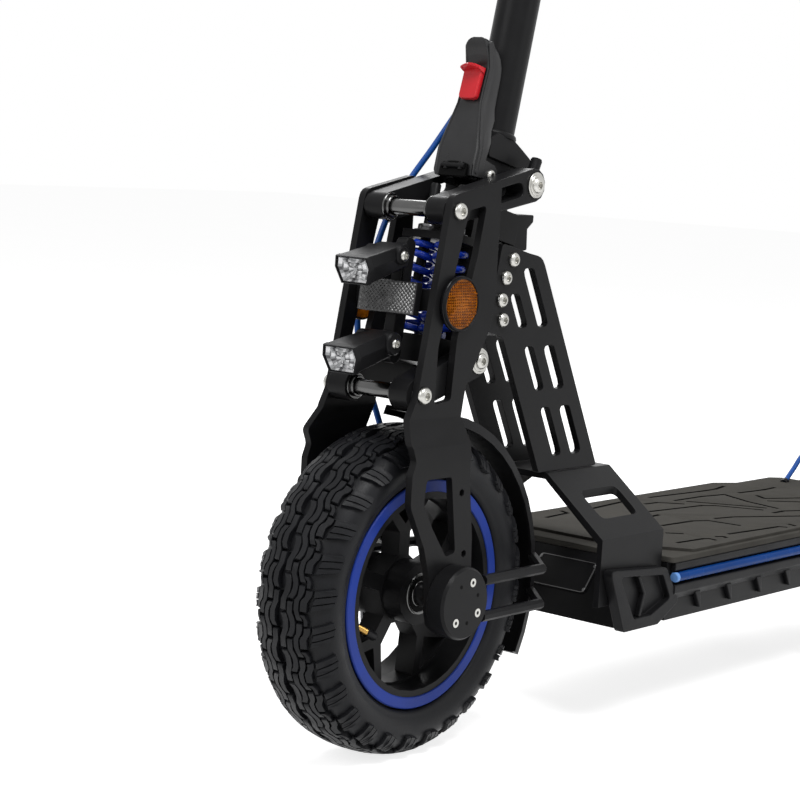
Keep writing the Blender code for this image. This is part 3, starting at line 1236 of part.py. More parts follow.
def make_deck(looks, axis):
    tray = plan_slab(deck_plan(0), DECK_BOTTOM, DECK_TOP, FRONT)
    cavity = plan_slab(deck_plan(TRAY_WALL), DECK_BOTTOM + TRAY_WALL, DECK_TOP + TRAY_WALL, FRONT)
    run = DECK_NOSE_TOP - DECK_NOSE_BOTTOM
    above = 2 * TRAY_WALL
    slope_top = DECK_NOSE_TOP + run * above / (DECK_TOP - DECK_BOTTOM)
    slope_bottom = DECK_NOSE_BOTTOM - run * above / (DECK_TOP - DECK_BOTTOM)
    front_end = DECK_NOSE_BOTTOM + above
    wedge = [(slope_bottom, DECK_BOTTOM - above), (front_end, DECK_BOTTOM - above),
             (front_end, DECK_TOP + above), (slope_top, DECK_TOP + above)]
    inner_wedge = [(x - TRAY_WALL, z) for x, z in wedge]
    reach = DECK_HALF_WIDTH + above
    cavity = cut(cavity, slab(inner_wedge, -reach, reach, FRONT))
    tray = cut(tray, slab(wedge, -reach, reach, FRONT), cavity)
    lug_low, lug_high = STAND_LUG_Y
    pivot_x, pivot_z = STAND_PIVOT
    lug = box((pivot_x - STAND_EYE_RADIUS, lug_low, pivot_z - STAND_PIN_RADIUS),
              (pivot_x + STAND_EYE_RADIUS, lug_high, DECK_BOTTOM + TRAY_WALL / 2), FRONT)
    frame = FRONT @ Matrix.Translation((pivot_x, 0, pivot_z)) @ ALONG_Y
    pin_end = lug_high + STAND_EYE_WIDTH + 2 * GAP
    pin = turned([(STAND_PIN_RADIUS - GAP, lug_low + STAND_PIN_RADIUS), (STAND_PIN_RADIUS - GAP, pin_end)],
                 frame, PIN_SIDES)
    piece("deck_tray", union(tray, lug, pin), looks["black"], axis)
    half_lid = DECK_HALF_WIDTH + LID_OVERHANG
    tail_lid = DECK_TAIL_HALF_WIDTH + LID_OVERHANG
    wide, narrow = [DECK_REAR + share for share in DECK_TAPER]
    half = [(DECK_NOSE_TOP, DECK_NOSE_HALF_WIDTH, LID_CORNER), (DECK_STEP, DECK_NOSE_HALF_WIDTH, 0),
            (DECK_STEP, half_lid, LID_CORNER), (wide, half_lid, LID_CORNER), (narrow, tail_lid, LID_CORNER),
            (DECK_REAR, tail_lid, LID_CORNER)]
    corners = half + [(x, -y, radius) for x, y, radius in reversed(half)]
    piece("deck_lid", plan_slab(rounded(corners), LID_LOW, LID_HIGH, FRONT), looks["black"], axis)
    floor = DECK_BOTTOM + TRAY_WALL + GAP
    pack = box((BATTERY_REAR, -BATTERY_HALF_WIDTH, floor),
               (BATTERY_FRONT, BATTERY_HALF_WIDTH, floor + BATTERY_HEIGHT), FRONT)
    piece("battery_pack", pack, looks["battery"], axis)
    rear = DECK_REAR + TRAY_WALL + GAP
    controller = box((rear, -BATTERY_HALF_WIDTH, floor),
                     (rear + CONTROLLER_LENGTH, BATTERY_HALF_WIDTH, floor + CONTROLLER_HEIGHT), FRONT)
    piece("motor_controller", controller, looks["alloy"], axis)


def make_deck_trim(looks, axis):
    cap_inner = YOKE_OUTER + GAP
    for side_name, side in SIDES:
        low, high = side_span(side, cap_inner, CAP_OUTER)
        cap = slab(rounded(CAP_OUTLINE), low, high, FRONT)
        floor, mouth = side_span(side, CAP_OUTER - CAP_POCKET_DEPTH, CAP_OUTER + CAP_POCKET_DEPTH)
        heel_low, heel_high = side_span(side, cap_inner - CAP_POCKET_DEPTH, DECK_HALF_WIDTH + GAP)
        heel = box((CAP_REAR - GAP, heel_low, DECK_BOTTOM - GAP),
                   (DECK_STEP + GAP, heel_high, CAP_TOP + GAP), FRONT)
        cap = cut(cap, slab(rounded(CAP_POCKET), floor, mouth, FRONT), heel)
        piece("corner_cap_" + side_name, cap, looks["plastic"], axis)
        y = side * (DECK_HALF_WIDTH + GAP + LIGHT_TUBE_RADIUS)
        path = [(LIGHT_TUBE_FRONT, y, LIGHT_TUBE_HEIGHT), (LIGHT_TUBE_REAR, y, LIGHT_TUBE_HEIGHT)]
        piece("light_tube_" + side_name, rod(path, LIGHT_TUBE_RADIUS, PIN_SIDES, FRONT), looks["tube"], axis)


def make_stand(looks, axis):
    pivot_x, pivot_z = STAND_PIVOT
    eye_low = STAND_LUG_Y[1] + GAP
    eye_high = eye_low + STAND_EYE_WIDTH
    frame = FRONT @ Matrix.Translation((pivot_x, 0, pivot_z)) @ ALONG_Y
    inner = STAND_PIN_RADIUS + GAP
    eye = pipe(inner, STAND_EYE_RADIUS, eye_low, eye_high, frame)
    foot_x, foot_y = STAND_FOOT
    ground = -AXLE_Z
    start_y = (eye_low + eye_high) / 2
    start = Vector((pivot_x, start_y, pivot_z))
    end = Vector((foot_x, foot_y, ground + STAND_FOOT_HEIGHT / 2))
    first = start + (end - start).normalized() * STAND_LEG_START
    leg = rod([first, end], STAND_LEG_RADIUS, PIN_SIDES, FRONT)
    half_length = STAND_FOOT_LENGTH / 2
    half_width = STAND_FOOT_WIDTH / 2
    foot = box((foot_x - half_length, foot_y - half_width, ground),
               (foot_x + half_length, foot_y + half_width, ground + STAND_FOOT_HEIGHT), FRONT)
    bore = turned([(inner, eye_low - GAP), (inner, eye_high + GAP)], frame)
    piece("kick_stand", union(cut(union(eye, leg), bore), foot), looks["black"], axis)


# Rear end

def make_rear(looks, axes):
    axis = axes["chassis"]
    deck_face = WHEELBASE + DECK_REAR - GAP
    hole = [rounded(REAR_PLATE_WINDOW), circle((0, 0), AXLE_RADIUS + PIN_GAP)]
    low, high = CROSS_BLOCK_HEIGHT
    half = REAR_OUTER - 2 * GAP
    frame = box((deck_face - CROSS_BLOCK_LENGTH, -half, low), (deck_face, half, high), REAR)
    for side_name, side in SIDES:
        inner, outer = side_span(side, REAR_INNER, REAR_OUTER)
        frame = union(frame, slab(rounded(REAR_PLATE_OUTLINE), inner, outer, REAR, hole))
    run = (Vector(FOOTREST_HIGH) - Vector(FOOTREST_LOW)).normalized()
    under = Vector((-run.y, run.x)) * FOOTREST_THICKNESS
    rest = [FOOTREST_LOW, FOOTREST_HIGH, Vector(FOOTREST_HIGH) + under, Vector(FOOTREST_LOW) + under * 2]
    frame = union(frame, slab(rest, -FOOTREST_HALF_WIDTH, FOOTREST_HALF_WIDTH, REAR))
    piece("rear_frame", frame, looks["black"], axis)
    make_rear_wheel(looks, axes)
    guard = mudguard(REAR, REAR_GUARD_ARC)
    for side_name, side in SIDES:
        nut = REAR_NUT_RADIUS + 2 * GAP
        middle = side * (REAR_OUTER + GAP + REAR_NUT_HEIGHT / 2)
        knee = GUARD_RADIUS - (REAR_OUTER - GUARD_HALF_WIDTH)
        path = [(0, middle, nut), (0, middle, knee), (0, side * GUARD_HALF_WIDTH, GUARD_RADIUS)]
        guard = union(guard, rod(path, STAY_RADIUS, STAY_SIDES, REAR))
    piece("rear_mudguard", guard, looks["plastic"], axis)
    turn = REAR @ Matrix.Rotation(-TAIL_ANGLE, 4, "Y")
    lamp = box((GUARD_OUTER + GAP, -TAIL_HALF_WIDTH, -TAIL_HALF_HEIGHT),
               (TAIL_OUTER, TAIL_HALF_WIDTH, TAIL_HALF_HEIGHT), turn)
    piece("tail_light", lamp, looks["red"], axis)


def make_rear_wheel(looks, axes):
    axis = axes["rear_wheel"]
    piece("rear_tyre", tyre(REAR), looks["tyre"], axis)
    bore = AXLE_RADIUS + PIN_GAP
    face = [(bore, MOTOR_HALF_WIDTH), (MOTOR_RADIUS, MOTOR_HALF_WIDTH), (BARREL_RADIUS, RIM_HALF_WIDTH)]
    motor = turned(mirrored(face + rim_half()), REAR @ ALONG_Y, WHEEL_SIDES, bored=True)
    piece("rear_hub_motor", motor, looks["black"], axis)
    stop = REAR_INNER - GAP
    motor_face = MOTOR_HALF_WIDTH + PIN_GAP
    nut_low = REAR_OUTER + GAP
    nut_high = nut_low + REAR_NUT_HEIGHT
    tip = nut_high + REAR_AXLE_TIP
    outer = [(AXLE_RADIUS, stop), (AXLE_RADIUS, nut_low), (REAR_NUT_RADIUS, nut_low),
             (REAR_NUT_RADIUS, nut_high), (AXLE_RADIUS, nut_high), (AXLE_RADIUS, tip)]
    plate = motor_face + BRAKE_PLATE_THICKNESS
    right = [(r, -h) for r, h in reversed(outer)]
    right += [(AXLE_SHOULDER_RADIUS, -stop), (AXLE_SHOULDER_RADIUS, -plate), (BRAKE_PLATE_RADIUS, -plate),
              (BRAKE_PLATE_RADIUS, -motor_face), (AXLE_RADIUS, -motor_face)]
    left = [(AXLE_RADIUS, motor_face), (AXLE_SHOULDER_RADIUS, motor_face), (AXLE_SHOULDER_RADIUS, stop)]
    left += outer
    piece("rear_axle", turned(right + left, REAR @ ALONG_Y, PIN_SIDES), looks["alloy"], axes["chassis"])


# Cables

def smooth_route(points):
    """Points a few cable diameters apart on a smooth curve through a route."""
    knots = [Vector(point) for point in points]
    route = []
    for index in range(len(knots) - 1):
        before = knots[max(index - 1, 0)]
        start = knots[index]
        end = knots[index + 1]
        after = knots[min(index + 2, len(knots) - 1)]
        steps = max(1, round((end - start).length / CABLE_STEP))
        for step in range(steps):
            t = step / steps
            a = 2 * start
            b = (end - before) * t
            c = (2 * before - 5 * start + 4 * end - after) * t ** 2
            d = (3 * start - before - 3 * end + after) * t ** 3
            route.append((a + b + c + d) / 2)
    return route + [knots[-1]]


def make_cables(looks, axes):
    caliper_y = (CALIPER_LEFT - LEG_INNER) / 2 - CABLE_RADIUS
    entry = CALIPER_OUTER + GAP
    ends = [polar(entry + lead, CALIPER_ANGLE) for lead in (6 * CABLE_RADIUS, 2 * CABLE_RADIUS, 0)]
    tail = [(x, caliper_y, z) for x, z in ends]
    route = [FRONT @ point for point in smooth_route(FRONT_CABLE_ROUTE + tail)]
    wire("front_brake_cable", route, CABLE_RADIUS, 2, looks["cable"], axes["steering"])
    plate_y = -MOTOR_HALF_WIDTH - PIN_GAP - BRAKE_PLATE_THICKNESS / 2
    angle = math.atan2(REAR_CABLE_ROUTE[-1][2], REAR_CABLE_ROUTE[-1][0])
    entry = BRAKE_PLATE_RADIUS + GAP
    tail = [(x, plate_y, z) for x, z in (polar(entry + 2 * CABLE_RADIUS, angle), polar(entry, angle))]
    route = [REAR @ point for point in smooth_route(REAR_CABLE_ROUTE + tail)]
    wire("rear_brake_cable", route, CABLE_RADIUS, 2, looks["cable"], axes["chassis"])


def main():
    for item in list(bpy.data.objects):
        bpy.data.objects.remove(item)
    looks = make_looks()
    axes = make_axes()
    make_fork(looks, axes["fork"])
    make_front_wheel(looks, axes["front_wheel"])
    make_links(looks, axes)
    make_springs(looks, axes["steering"])
    make_steering(looks, axes["steering"], axes["chassis"])
    make_stem(looks, axes["stem"])
    make_latch(looks, axes)
    make_handlebar(looks, axes)
    make_neck(looks, axes["chassis"])
    make_yoke(looks, axes["chassis"])
    make_deck(looks, axes["chassis"])
    make_deck_trim(looks, axes["chassis"])
    make_stand(looks, axes["stand"])
    make_rear(looks, axes)
    make_cables(looks, axes)


main()
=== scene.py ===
import json
from math import atan, atan2, ceil, cos, degrees, dist, hypot, pi, radians, sin, tan, tau

import bmesh
import bpy
from mathutils import Matrix, Vector


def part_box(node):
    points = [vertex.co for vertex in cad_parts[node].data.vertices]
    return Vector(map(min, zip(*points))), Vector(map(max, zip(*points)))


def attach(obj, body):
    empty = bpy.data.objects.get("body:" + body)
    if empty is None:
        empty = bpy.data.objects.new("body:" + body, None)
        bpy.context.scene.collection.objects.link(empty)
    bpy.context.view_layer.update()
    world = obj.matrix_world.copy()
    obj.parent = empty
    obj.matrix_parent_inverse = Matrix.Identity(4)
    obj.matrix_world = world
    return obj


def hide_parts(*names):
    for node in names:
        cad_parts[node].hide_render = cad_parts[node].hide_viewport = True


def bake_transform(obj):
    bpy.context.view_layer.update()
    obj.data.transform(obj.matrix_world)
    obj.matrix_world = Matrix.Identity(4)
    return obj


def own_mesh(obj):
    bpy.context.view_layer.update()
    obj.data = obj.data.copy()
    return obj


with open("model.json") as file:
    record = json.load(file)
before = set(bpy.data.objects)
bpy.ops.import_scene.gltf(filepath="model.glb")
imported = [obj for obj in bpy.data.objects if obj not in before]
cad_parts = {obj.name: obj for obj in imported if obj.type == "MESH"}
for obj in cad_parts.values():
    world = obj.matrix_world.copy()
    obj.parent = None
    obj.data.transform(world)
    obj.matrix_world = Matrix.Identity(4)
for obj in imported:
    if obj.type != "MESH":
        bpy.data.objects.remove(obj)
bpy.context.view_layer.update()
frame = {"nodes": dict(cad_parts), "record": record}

# Frames: the two axles, the steering axis, and the direction out of a side face
SIDES = (("left", 1), ("right", -1))
BOTH = (1, -1)
SIGNS = (-1, 1)
QUARTER = pi / 2
GAP = 0.0003
BOLT_GAP = 0.0002
RAKE = radians(12.5)
STEER_FOOT = -0.0129


def shift(x, y, z):
    return Matrix.Translation((x, y, z))


def spin(angle, axis):
    return Matrix.Rotation(angle, 4, axis)


def mm(table):
    """Table of lengths in metres, from one in millimetres."""
    return [mm(row) for row in table] if isinstance(table, (list, tuple)) else table / 1000


def around(radius, angle, height):
    """Shift to a point on a circle about the Z axis."""
    return shift(radius * cos(angle), radius * sin(angle), height)


def out_of(base, x, y, z, side):
    """Frame whose Z axis points out of a side face."""
    return base @ shift(x, side * y, z) @ spin(-side * QUARTER, "X")


def axle_frame(node):
    low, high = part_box(node)
    middle = (low + high) / 2
    return shift(middle.x, 0, middle.z)


ALONG_Y = spin(-QUARTER, "X")
FRONT = axle_frame("front_axle")
REAR = axle_frame("rear_axle")
STEER = FRONT @ shift(STEER_FOOT, 0, 0) @ spin(-RAKE, "Y")

# Sizes shared with the solids, in metres
UPPER_FRONT = (0.0025, 0.29)
UPPER_REAR = (-0.098, 0.311)
LOWER_FRONT = (0.032, 0.155)
LOWER_REAR = (-0.04, 0.177)
FORK_OUTER = 0.0455
ARM_INNER = 0.0213
ARM_OUTER = 0.0388
NECK_OUTER = 0.0273
SHAFT_RADIUS = 0.006
SPRING_X = 0.039
SPRING_Y = 0.0135
SPRING_LOW = 0.189
SPRING_HIGH = 0.2622
SPRING_RADIUS = 0.0109
BAR_HEIGHT = 1.032

# Materials

NOISE_LOW = 0.3
NOISE_HIGH = 0.7
BROAD_DETAIL = 5.0
FINE_DETAIL = 3.0
LEAST_ROUGHNESS = 0.03


def feed(tree, node, inputs):
    """Set a node's inputs to values, or link them to other nodes' outputs."""
    for name, value in inputs.items():
        if isinstance(value, bpy.types.NodeSocket):
            tree.links.new(value, node.inputs[name])
        else:
            node.inputs[name].default_value = value


def add_node(tree, kind, output, inputs):
    node = tree.nodes.new("ShaderNode" + kind)
    feed(tree, node, inputs)
    return node.outputs[output]


def add_math(tree, operation, first, second):
    node = tree.nodes.new("ShaderNodeMath")
    node.operation = operation
    feed(tree, node, {0: first, 1: second})
    return node.outputs["Value"]


def material(name, colour, roughness, metallic=0.0, spread=0.12, grain=900.0, bump=0.05, depth=0.0002,
             wear=0.08, specular=0.16, cloud=35.0, stretch=(1, 1, 1)):
    """Surface whose colour, gloss and relief vary with procedural noise."""
    mat = bpy.data.materials.new(name)
    mat.use_nodes = True
    tree = mat.node_tree
    where = add_node(tree, "TexCoord", "Object", {})
    place = add_node(tree, "Mapping", "Vector", {"Vector": where, "Scale": stretch})
    broad, fine = [add_node(tree, "TexNoise", "Fac", {"Vector": place, "Scale": scale, "Detail": detail})
                   for scale, detail in ((cloud, BROAD_DETAIL), (grain, FINE_DETAIL))]
    ramp = tree.nodes.new("ShaderNodeValToRGB")
    tree.links.new(broad, ramp.inputs["Fac"])
    dark, pale = ramp.color_ramp.elements
    dark.position = NOISE_LOW
    pale.position = NOISE_HIGH
    dark.color = (*[c * (1 - spread) for c in colour], 1)
    pale.color = (*[min(c * (1 + spread), 1) for c in colour], 1)
    gloss = add_node(tree, "MapRange", "Result", {
        "Value": broad, "From Min": NOISE_LOW, "From Max": NOISE_HIGH,
        "To Min": max(roughness - wear, LEAST_ROUGHNESS), "To Max": min(roughness + wear, 1.0)})
    relief = add_node(tree, "Bump", "Normal", {"Strength": bump, "Distance": depth, "Height": fine})
    feed(tree, tree.nodes["Principled BSDF"], {
        "Base Color": ramp.outputs["Color"], "Roughness": gloss, "Normal": relief, "Metallic": metallic,
        "Specular IOR Level": specular})
    return mat


BLACK = material("satin_black_metal", (0.01, 0.01, 0.0106), 0.36, grain=1500, bump=0.35, depth=0.00012,
                 wear=0.06, specular=0.09)
PLASTIC = material("black_plastic", (0.0095, 0.0095, 0.0104), 0.4, grain=2200, bump=0.45, depth=0.00015,
                   specular=0.09)
GLOSS = material("gloss_black_plastic", (0.006, 0.006, 0.007), 0.24, grain=600)
# Near-black: painted shade in the mat's grooves, the latch's recess and the hub caps' holes, and the real
# black of the bearing seal
SHADE_AND_SEAL_BLACK = material("recess_shade_and_seal_black", (0.003, 0.003, 0.003), 0.6, specular=0.05)
RUBBER = material("tyre_rubber", (0.008, 0.0083, 0.0098), 0.42, grain=1100, bump=0.5, depth=0.0003,
                  spread=0.2, cloud=60)
GRIP = material("grip_rubber", (0.01, 0.01, 0.0105), 0.68, grain=1800, bump=0.6, specular=0.1)
MAT = material("deck_mat_rubber", (0.062, 0.059, 0.053), 0.8, grain=1400, bump=0.7, depth=0.0003, spread=0.18,
               specular=0.03)
CHROME = material("polished_steel", (0.105, 0.105, 0.104), 0.2, 1.0, wear=0.05, grain=500, bump=0.03)
STAINLESS = material("stainless_bolt", (0.46, 0.455, 0.43), 0.26, 1.0, spread=0.15, grain=2500, bump=0.12)
ALLOY = material("dark_alloy", (0.12, 0.12, 0.125), 0.36, 1.0, spread=0.1, grain=1800, bump=0.15)
ROTOR = material("rotor_steel", (0.1, 0.1, 0.103), 0.34, 1.0, spread=0.15, stretch=(1, 8, 1), grain=1200,
                 bump=0.15)
BRASS = material("valve_brass", (0.42, 0.25, 0.07), 0.28, 1.0)
RING_BLUE = material("rim_ring_blue", (0.016, 0.044, 0.29), 0.4, grain=1200, bump=0.08)
SPRING_BLUE = material("spring_blue", (0.006, 0.038, 0.42), 0.28, specular=0.35, bump=0.04)
CABLE_BLUE = material("cable_sheath_blue", (0.006, 0.08, 0.36), 0.34, specular=0.3, bump=0.06)
TUBE_BLUE = material("light_tube_blue", (0.003, 0.046, 0.22), 0.24, specular=0.06, bump=0.03)
TUBE_END = material("light_tube_end", (0.16, 0.36, 0.8), 0.25, specular=0.3)
AMBER = material("amber_lens", (0.36, 0.105, 0.003), 0.2, specular=0.15, spread=0.35, cloud=220)
SATIN = material("satin_black_plastic", (0.015, 0.015, 0.016), 0.3, grain=2200, bump=0.03, specular=0.3)
# Darker and lighter copies of the amber lens, set on the reflector's facets: painted shade and painted
# highlight
AMBER_PAINTED_SHADE = material("amber_lens_painted_shade", (0.085, 0.02, 0.001), 0.24, specular=0.2, spread=0.35, cloud=220)
AMBER_PAINTED_HIGHLIGHT = material("amber_lens_painted_highlight", (0.5, 0.19, 0.01), 0.2, specular=0.15, spread=0.3, cloud=220)
WHITE_LENS = material("white_prism_lens", (0.2, 0.2, 0.2), 0.2, 0.5, spread=0.3, cloud=200, specular=0.4)
PRISM_GREY = material("prism_edge", (0.075, 0.075, 0.076), 0.24, 0.4, spread=0.3, cloud=200, specular=0.3)
# Darker copy of the prism lens, set on some facets of the front reflector: painted shadow
PRISM_PAINTED_SHADOW = material("prism_shadow", (0.02, 0.02, 0.021), 0.24, 0.3, spread=0.3, cloud=200, specular=0.2)
LAMP_LENS = material("lamp_lens", (0.3, 0.305, 0.31), 0.16, 0.55, spread=0.3, cloud=160, specular=0.4)
# Lighter and darker copies of the lamp lens, set on alternate facets: painted highlight and painted shade
LENS_PAINTED_HIGHLIGHT = material("lamp_lens_painted_highlight", (0.6, 0.6, 0.61), 0.16, 0.5, spread=0.25, cloud=160, specular=0.4)
LENS_PAINTED_SHADE = material("lamp_lens_painted_shade", (0.1, 0.1, 0.105), 0.18, 0.5, spread=0.3, cloud=160, specular=0.3)
RED = material("red_plastic", (0.56, 0.014, 0.022), 0.3, specular=0.3)
RED_LENS = material("red_lens", (0.36, 0.006, 0.01), 0.16, specular=0.5)
WRAP = material("battery_wrap", (0.02, 0.07, 0.16), 0.45, bump=0.2)
SCREEN = material("display_glass", (0.003, 0.004, 0.005), 0.08, specular=0.5, bump=0.01, spread=0.3)
PLATE = material("bare_plate", (0.005, 0.005, 0.0055), 0.34, grain=1500, bump=0.1)
PLATE_EDGE = material("plate_edge_silver", (0.2, 0.2, 0.2), 0.38, 0.9)

# Looks of the pieces in each material slot; the first of them is also the look of the slot's solids
SLOTS = {
    "black_metal": (BLACK,),
    "bright_steel": (CHROME, STAINLESS, PLATE_EDGE),
    "alloy": (ALLOY,),
    "tyre": (RUBBER,),
    "grip_rubber": (GRIP, MAT),
    "black_plastic": (PLASTIC, GLOSS, SHADE_AND_SEAL_BLACK, SATIN, SCREEN, PLATE),
    "blue_paint": (SPRING_BLUE, RING_BLUE),
    "blue_cable": (CABLE_BLUE,),
    "light_tube": (TUBE_BLUE, TUBE_END),
    "amber_lens": (AMBER,),
    "clear_lens": (LAMP_LENS, WHITE_LENS, PRISM_GREY),
    "red_plastic": (RED,),
    "battery_wrap": (WRAP,),
}
NODE_LOOKS = {"front_rotor": ROTOR, "tail_light": RED_LENS, "deck_lid": MAT, "latch_lever": SATIN}

# Mesh building

BOLT_SIDES = 24
WASHER_SIDES = 40
BUTTON_HEAD = ((1.0, 0.0), (1.0, 0.28), (0.95, 0.55), (0.82, 0.82), (0.66, 0.97))
FLAT_HEAD = ((1.0, 0.0), (1.0, 1.0))
# Radius and height of the bolts' heads in millimetres
BOLTS = {
    "cap": (3.3, 0.6), "motor": (3.6, 2.2), "fork": (6.6, 3.8), "link": (6.4, 4), "neck": (5.8, 3.6),
    "lamp": (4, 2.4), "latch": (4.6, 2.6), "display": (3, 2.2), "clamp": (3.6, 2.8), "lever": (4, 2.4),
    "caliper": (3.8, 3),
}
SOCKET_SHARE = 0.48
SOCKET_EDGE = 1.12
SOCKET_SPAN = (0.96, 0.3)
CORNER_LIMIT = 0.48
WELD_REACH = 0.000002
FLAT_ANGLE = radians(0.6)
BEVEL_ANGLE = radians(32)
SHARP_ANGLE = 38
SQUARE = ((-1, -1), (1, -1), (1, 1), (-1, 1))


def ring_of(radius, height, sides):
    points = []
    for step in range(sides):
        angle = tau * (step + 0.5) / sides
        points.append(Vector((radius * cos(angle), radius * sin(angle), height)))
    return points


def made(add, *details):
    """New mesh that holds one form."""
    bm = bmesh.new()
    add(bm, *details)
    return bm


def add_loft(bm, rings, closed=False, place=Matrix()):
    """Join rings of points one after another, with caps unless the last ring meets the first."""
    loops = [[bm.verts.new(place @ Vector(point)) for point in ring] for ring in rings]
    spans = len(loops) if closed else len(loops) - 1
    for index in range(spans):
        low = loops[index]
        high = loops[(index + 1) % len(loops)]
        for here in range(len(low)):
            there = (here + 1) % len(low)
            bm.faces.new((low[here], low[there], high[there], high[here]))
    if not closed:
        bm.faces.new(list(reversed(loops[0])))
        bm.faces.new(loops[-1])


def add_lathe(bm, profile, place, sides, bored=False):
    """Turn (radius, height) points about the place's Z axis."""
    add_loft(bm, [ring_of(radius, height, sides) for radius, height in profile], bored, place)


def add_tube(bm, points, radius, sides, place=Matrix()):
    """Round tube along points, its section carried along without twisting."""
    path = [Vector(point) for point in points]
    normal = None
    rings = []
    for index, point in enumerate(path):
        ahead = (path[min(index + 1, len(path) - 1)] - path[max(index - 1, 0)]).normalized()
        if normal is None:
            normal = ahead.orthogonal().normalized()
        normal = (normal - ahead * normal.dot(ahead)).normalized()
        other = ahead.cross(normal)
        ring = []
        for step in range(sides):
            angle = tau * step / sides
            ring.append(point + normal * radius * cos(angle) + other * radius * sin(angle))
        rings.append(ring)
    add_loft(bm, rings, False, place)


def add_slab(bm, outline, low, high, place):
    """Sheet with an (x, z) outline, as thick as low to high along Y."""
    add_loft(bm, [[(x, y, z) for x, z in outline] for y in (low, high)], False, place)


def add_plate(bm, outline, low, high, place):
    """Sheet with an (x, y) outline, as thick as low to high along Z."""
    add_loft(bm, [[(x, y, z) for x, y in outline] for z in (low, high)], False, place)


def add_box(bm, low, high, place):
    corners = [(low[0], low[1]), (high[0], low[1]), (high[0], high[1]), (low[0], high[1])]
    add_plate(bm, corners, low[2], high[2], place)


def add_pyramid(bm, corners, tip):
    base = [bm.verts.new(corner) for corner in corners]
    peak = bm.verts.new(tip)
    for index in range(len(base)):
        bm.faces.new((base[index], base[(index + 1) % len(base)], peak))
    bm.faces.new(list(reversed(base)))


def hexagon(reach, height):
    points = []
    for step in range(BOLT_SIDES):
        angle = tau * (step + 0.5) / BOLT_SIDES
        off = angle % (pi / 3) - pi / 6
        radius = reach * cos(pi / 6) / cos(off)
        points.append((radius * cos(angle), radius * sin(angle), height))
    return points


def add_nut(bm, profile, place):
    add_loft(bm, [hexagon(reach, height) for reach, height in profile], False, place)


def add_bolt(bm, place, kind, head=BUTTON_HEAD):
    """Bolt head with a hexagon socket."""
    radius, height = mm(BOLTS[kind])
    socket = radius * SOCKET_SHARE
    rings = [ring_of(radius * share, height * rise, BOLT_SIDES) for share, rise in head]
    rings.append(ring_of(socket * SOCKET_EDGE, height, BOLT_SIDES))
    rings += [hexagon(socket, height * rise) for rise in SOCKET_SPAN]
    add_loft(bm, rings, False, place)


def add_washer(bm, place, inner, outer, low, high):
    edge = min((high - low) / 3, (outer - inner) / 4)
    add_lathe(bm, [(inner, low), (inner, high - edge), (inner + edge, high), (outer - edge, high),
                   (outer, high - edge), (outer, low)], place, WASHER_SIDES, True)


def rounded(corners, steps=5):
    """Round each (x, z, radius) corner of a closed outline."""
    points = []
    for index, (x, z, radius) in enumerate(corners):
        corner = Vector((x, z))
        before = Vector(corners[index - 1][:2]) - corner
        after = Vector(corners[(index + 1) % len(corners)][:2]) - corner
        reach = radius / tan(before.angle(after) / 2) if radius else 0
        reach = min(reach, before.length * CORNER_LIMIT, after.length * CORNER_LIMIT)
        if reach == 0:
            points.append((x, z))
            continue
        start = corner + before.normalized() * reach
        end = corner + after.normalized() * reach
        for step in range(steps + 1):
            share = step / steps
            points.append(tuple(start.lerp(corner, share).lerp(corner.lerp(end, share), share)))
    return points


def rectangle(left, right, half, radius):
    """Rounded rectangle between two x and as far to both sides in y."""
    return rounded([(x, y, radius) for x, y in ((right, half), (left, half), (left, -half), (right, -half))])


def densify(outline, step):
    """Closed outline with points no further apart than a step."""
    points = []
    for index, start in enumerate(outline):
        start = Vector(start)
        end = Vector(outline[(index + 1) % len(outline)])
        count = max(1, ceil((end - start).length / step))
        points += [start.lerp(end, part / count) for part in range(count)]
    return points


def soften(obj, bevel, segments=2, weld=False):
    """Round the sharp edges with modifiers and shade by face size."""
    if weld:
        obj.modifiers.new("weld", "WELD").merge_threshold = WELD_REACH
        flatten = obj.modifiers.new("flatten", "DECIMATE")
        flatten.decimate_type = "DISSOLVE"
        flatten.angle_limit = FLAT_ANGLE
    edge = obj.modifiers.new("edges", "BEVEL")
    edge.width = bevel
    edge.segments = segments
    edge.limit_method = "ANGLE"
    edge.angle_limit = BEVEL_ANGLE
    obj.modifiers.new("shade", "WEIGHTED_NORMAL").keep_sharp = False


def add_object(name, data):
    obj = bpy.data.objects.new(name, data)
    bpy.context.scene.collection.objects.link(obj)
    return obj


def mesh_object(bm, name, look, sharp=SHARP_ANGLE):
    """Object of the built mesh, smooth up to an angle in degrees, or all over where that is 0."""
    bmesh.ops.recalc_face_normals(bm, faces=bm.faces)
    mesh = bpy.data.meshes.new(name)
    bm.to_mesh(mesh)
    bm.free()
    mesh.materials.append(look)
    mesh.shade_smooth()
    if sharp:
        mesh.set_sharp_from_angle(angle=radians(sharp))
    return add_object(name, mesh)


def put(bm, name, look, body, stands_for=None, bevel=0.0, segments=2, sharp=SHARP_ANGLE):
    """Make a piece of the built mesh, and let it ride on a body."""
    obj = mesh_object(bm, name, look, 0 if bevel else sharp)
    if bevel:
        soften(obj, bevel, segments)
    if body:
        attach(obj, body)
    if stands_for:
        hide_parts(stands_for)
    return obj


def facet(obj, looks, order):
    """Give the faces of a prism sheet further looks, in a repeating order: lighter and darker copies of its
    look, as painted highlight and painted shade.
    """
    for look in looks:
        obj.data.materials.append(look)
    for polygon in obj.data.polygons:
        polygon.material_index = order[polygon.index % len(order)]


# CAD solids that stay: better materials, and fine rounded edges

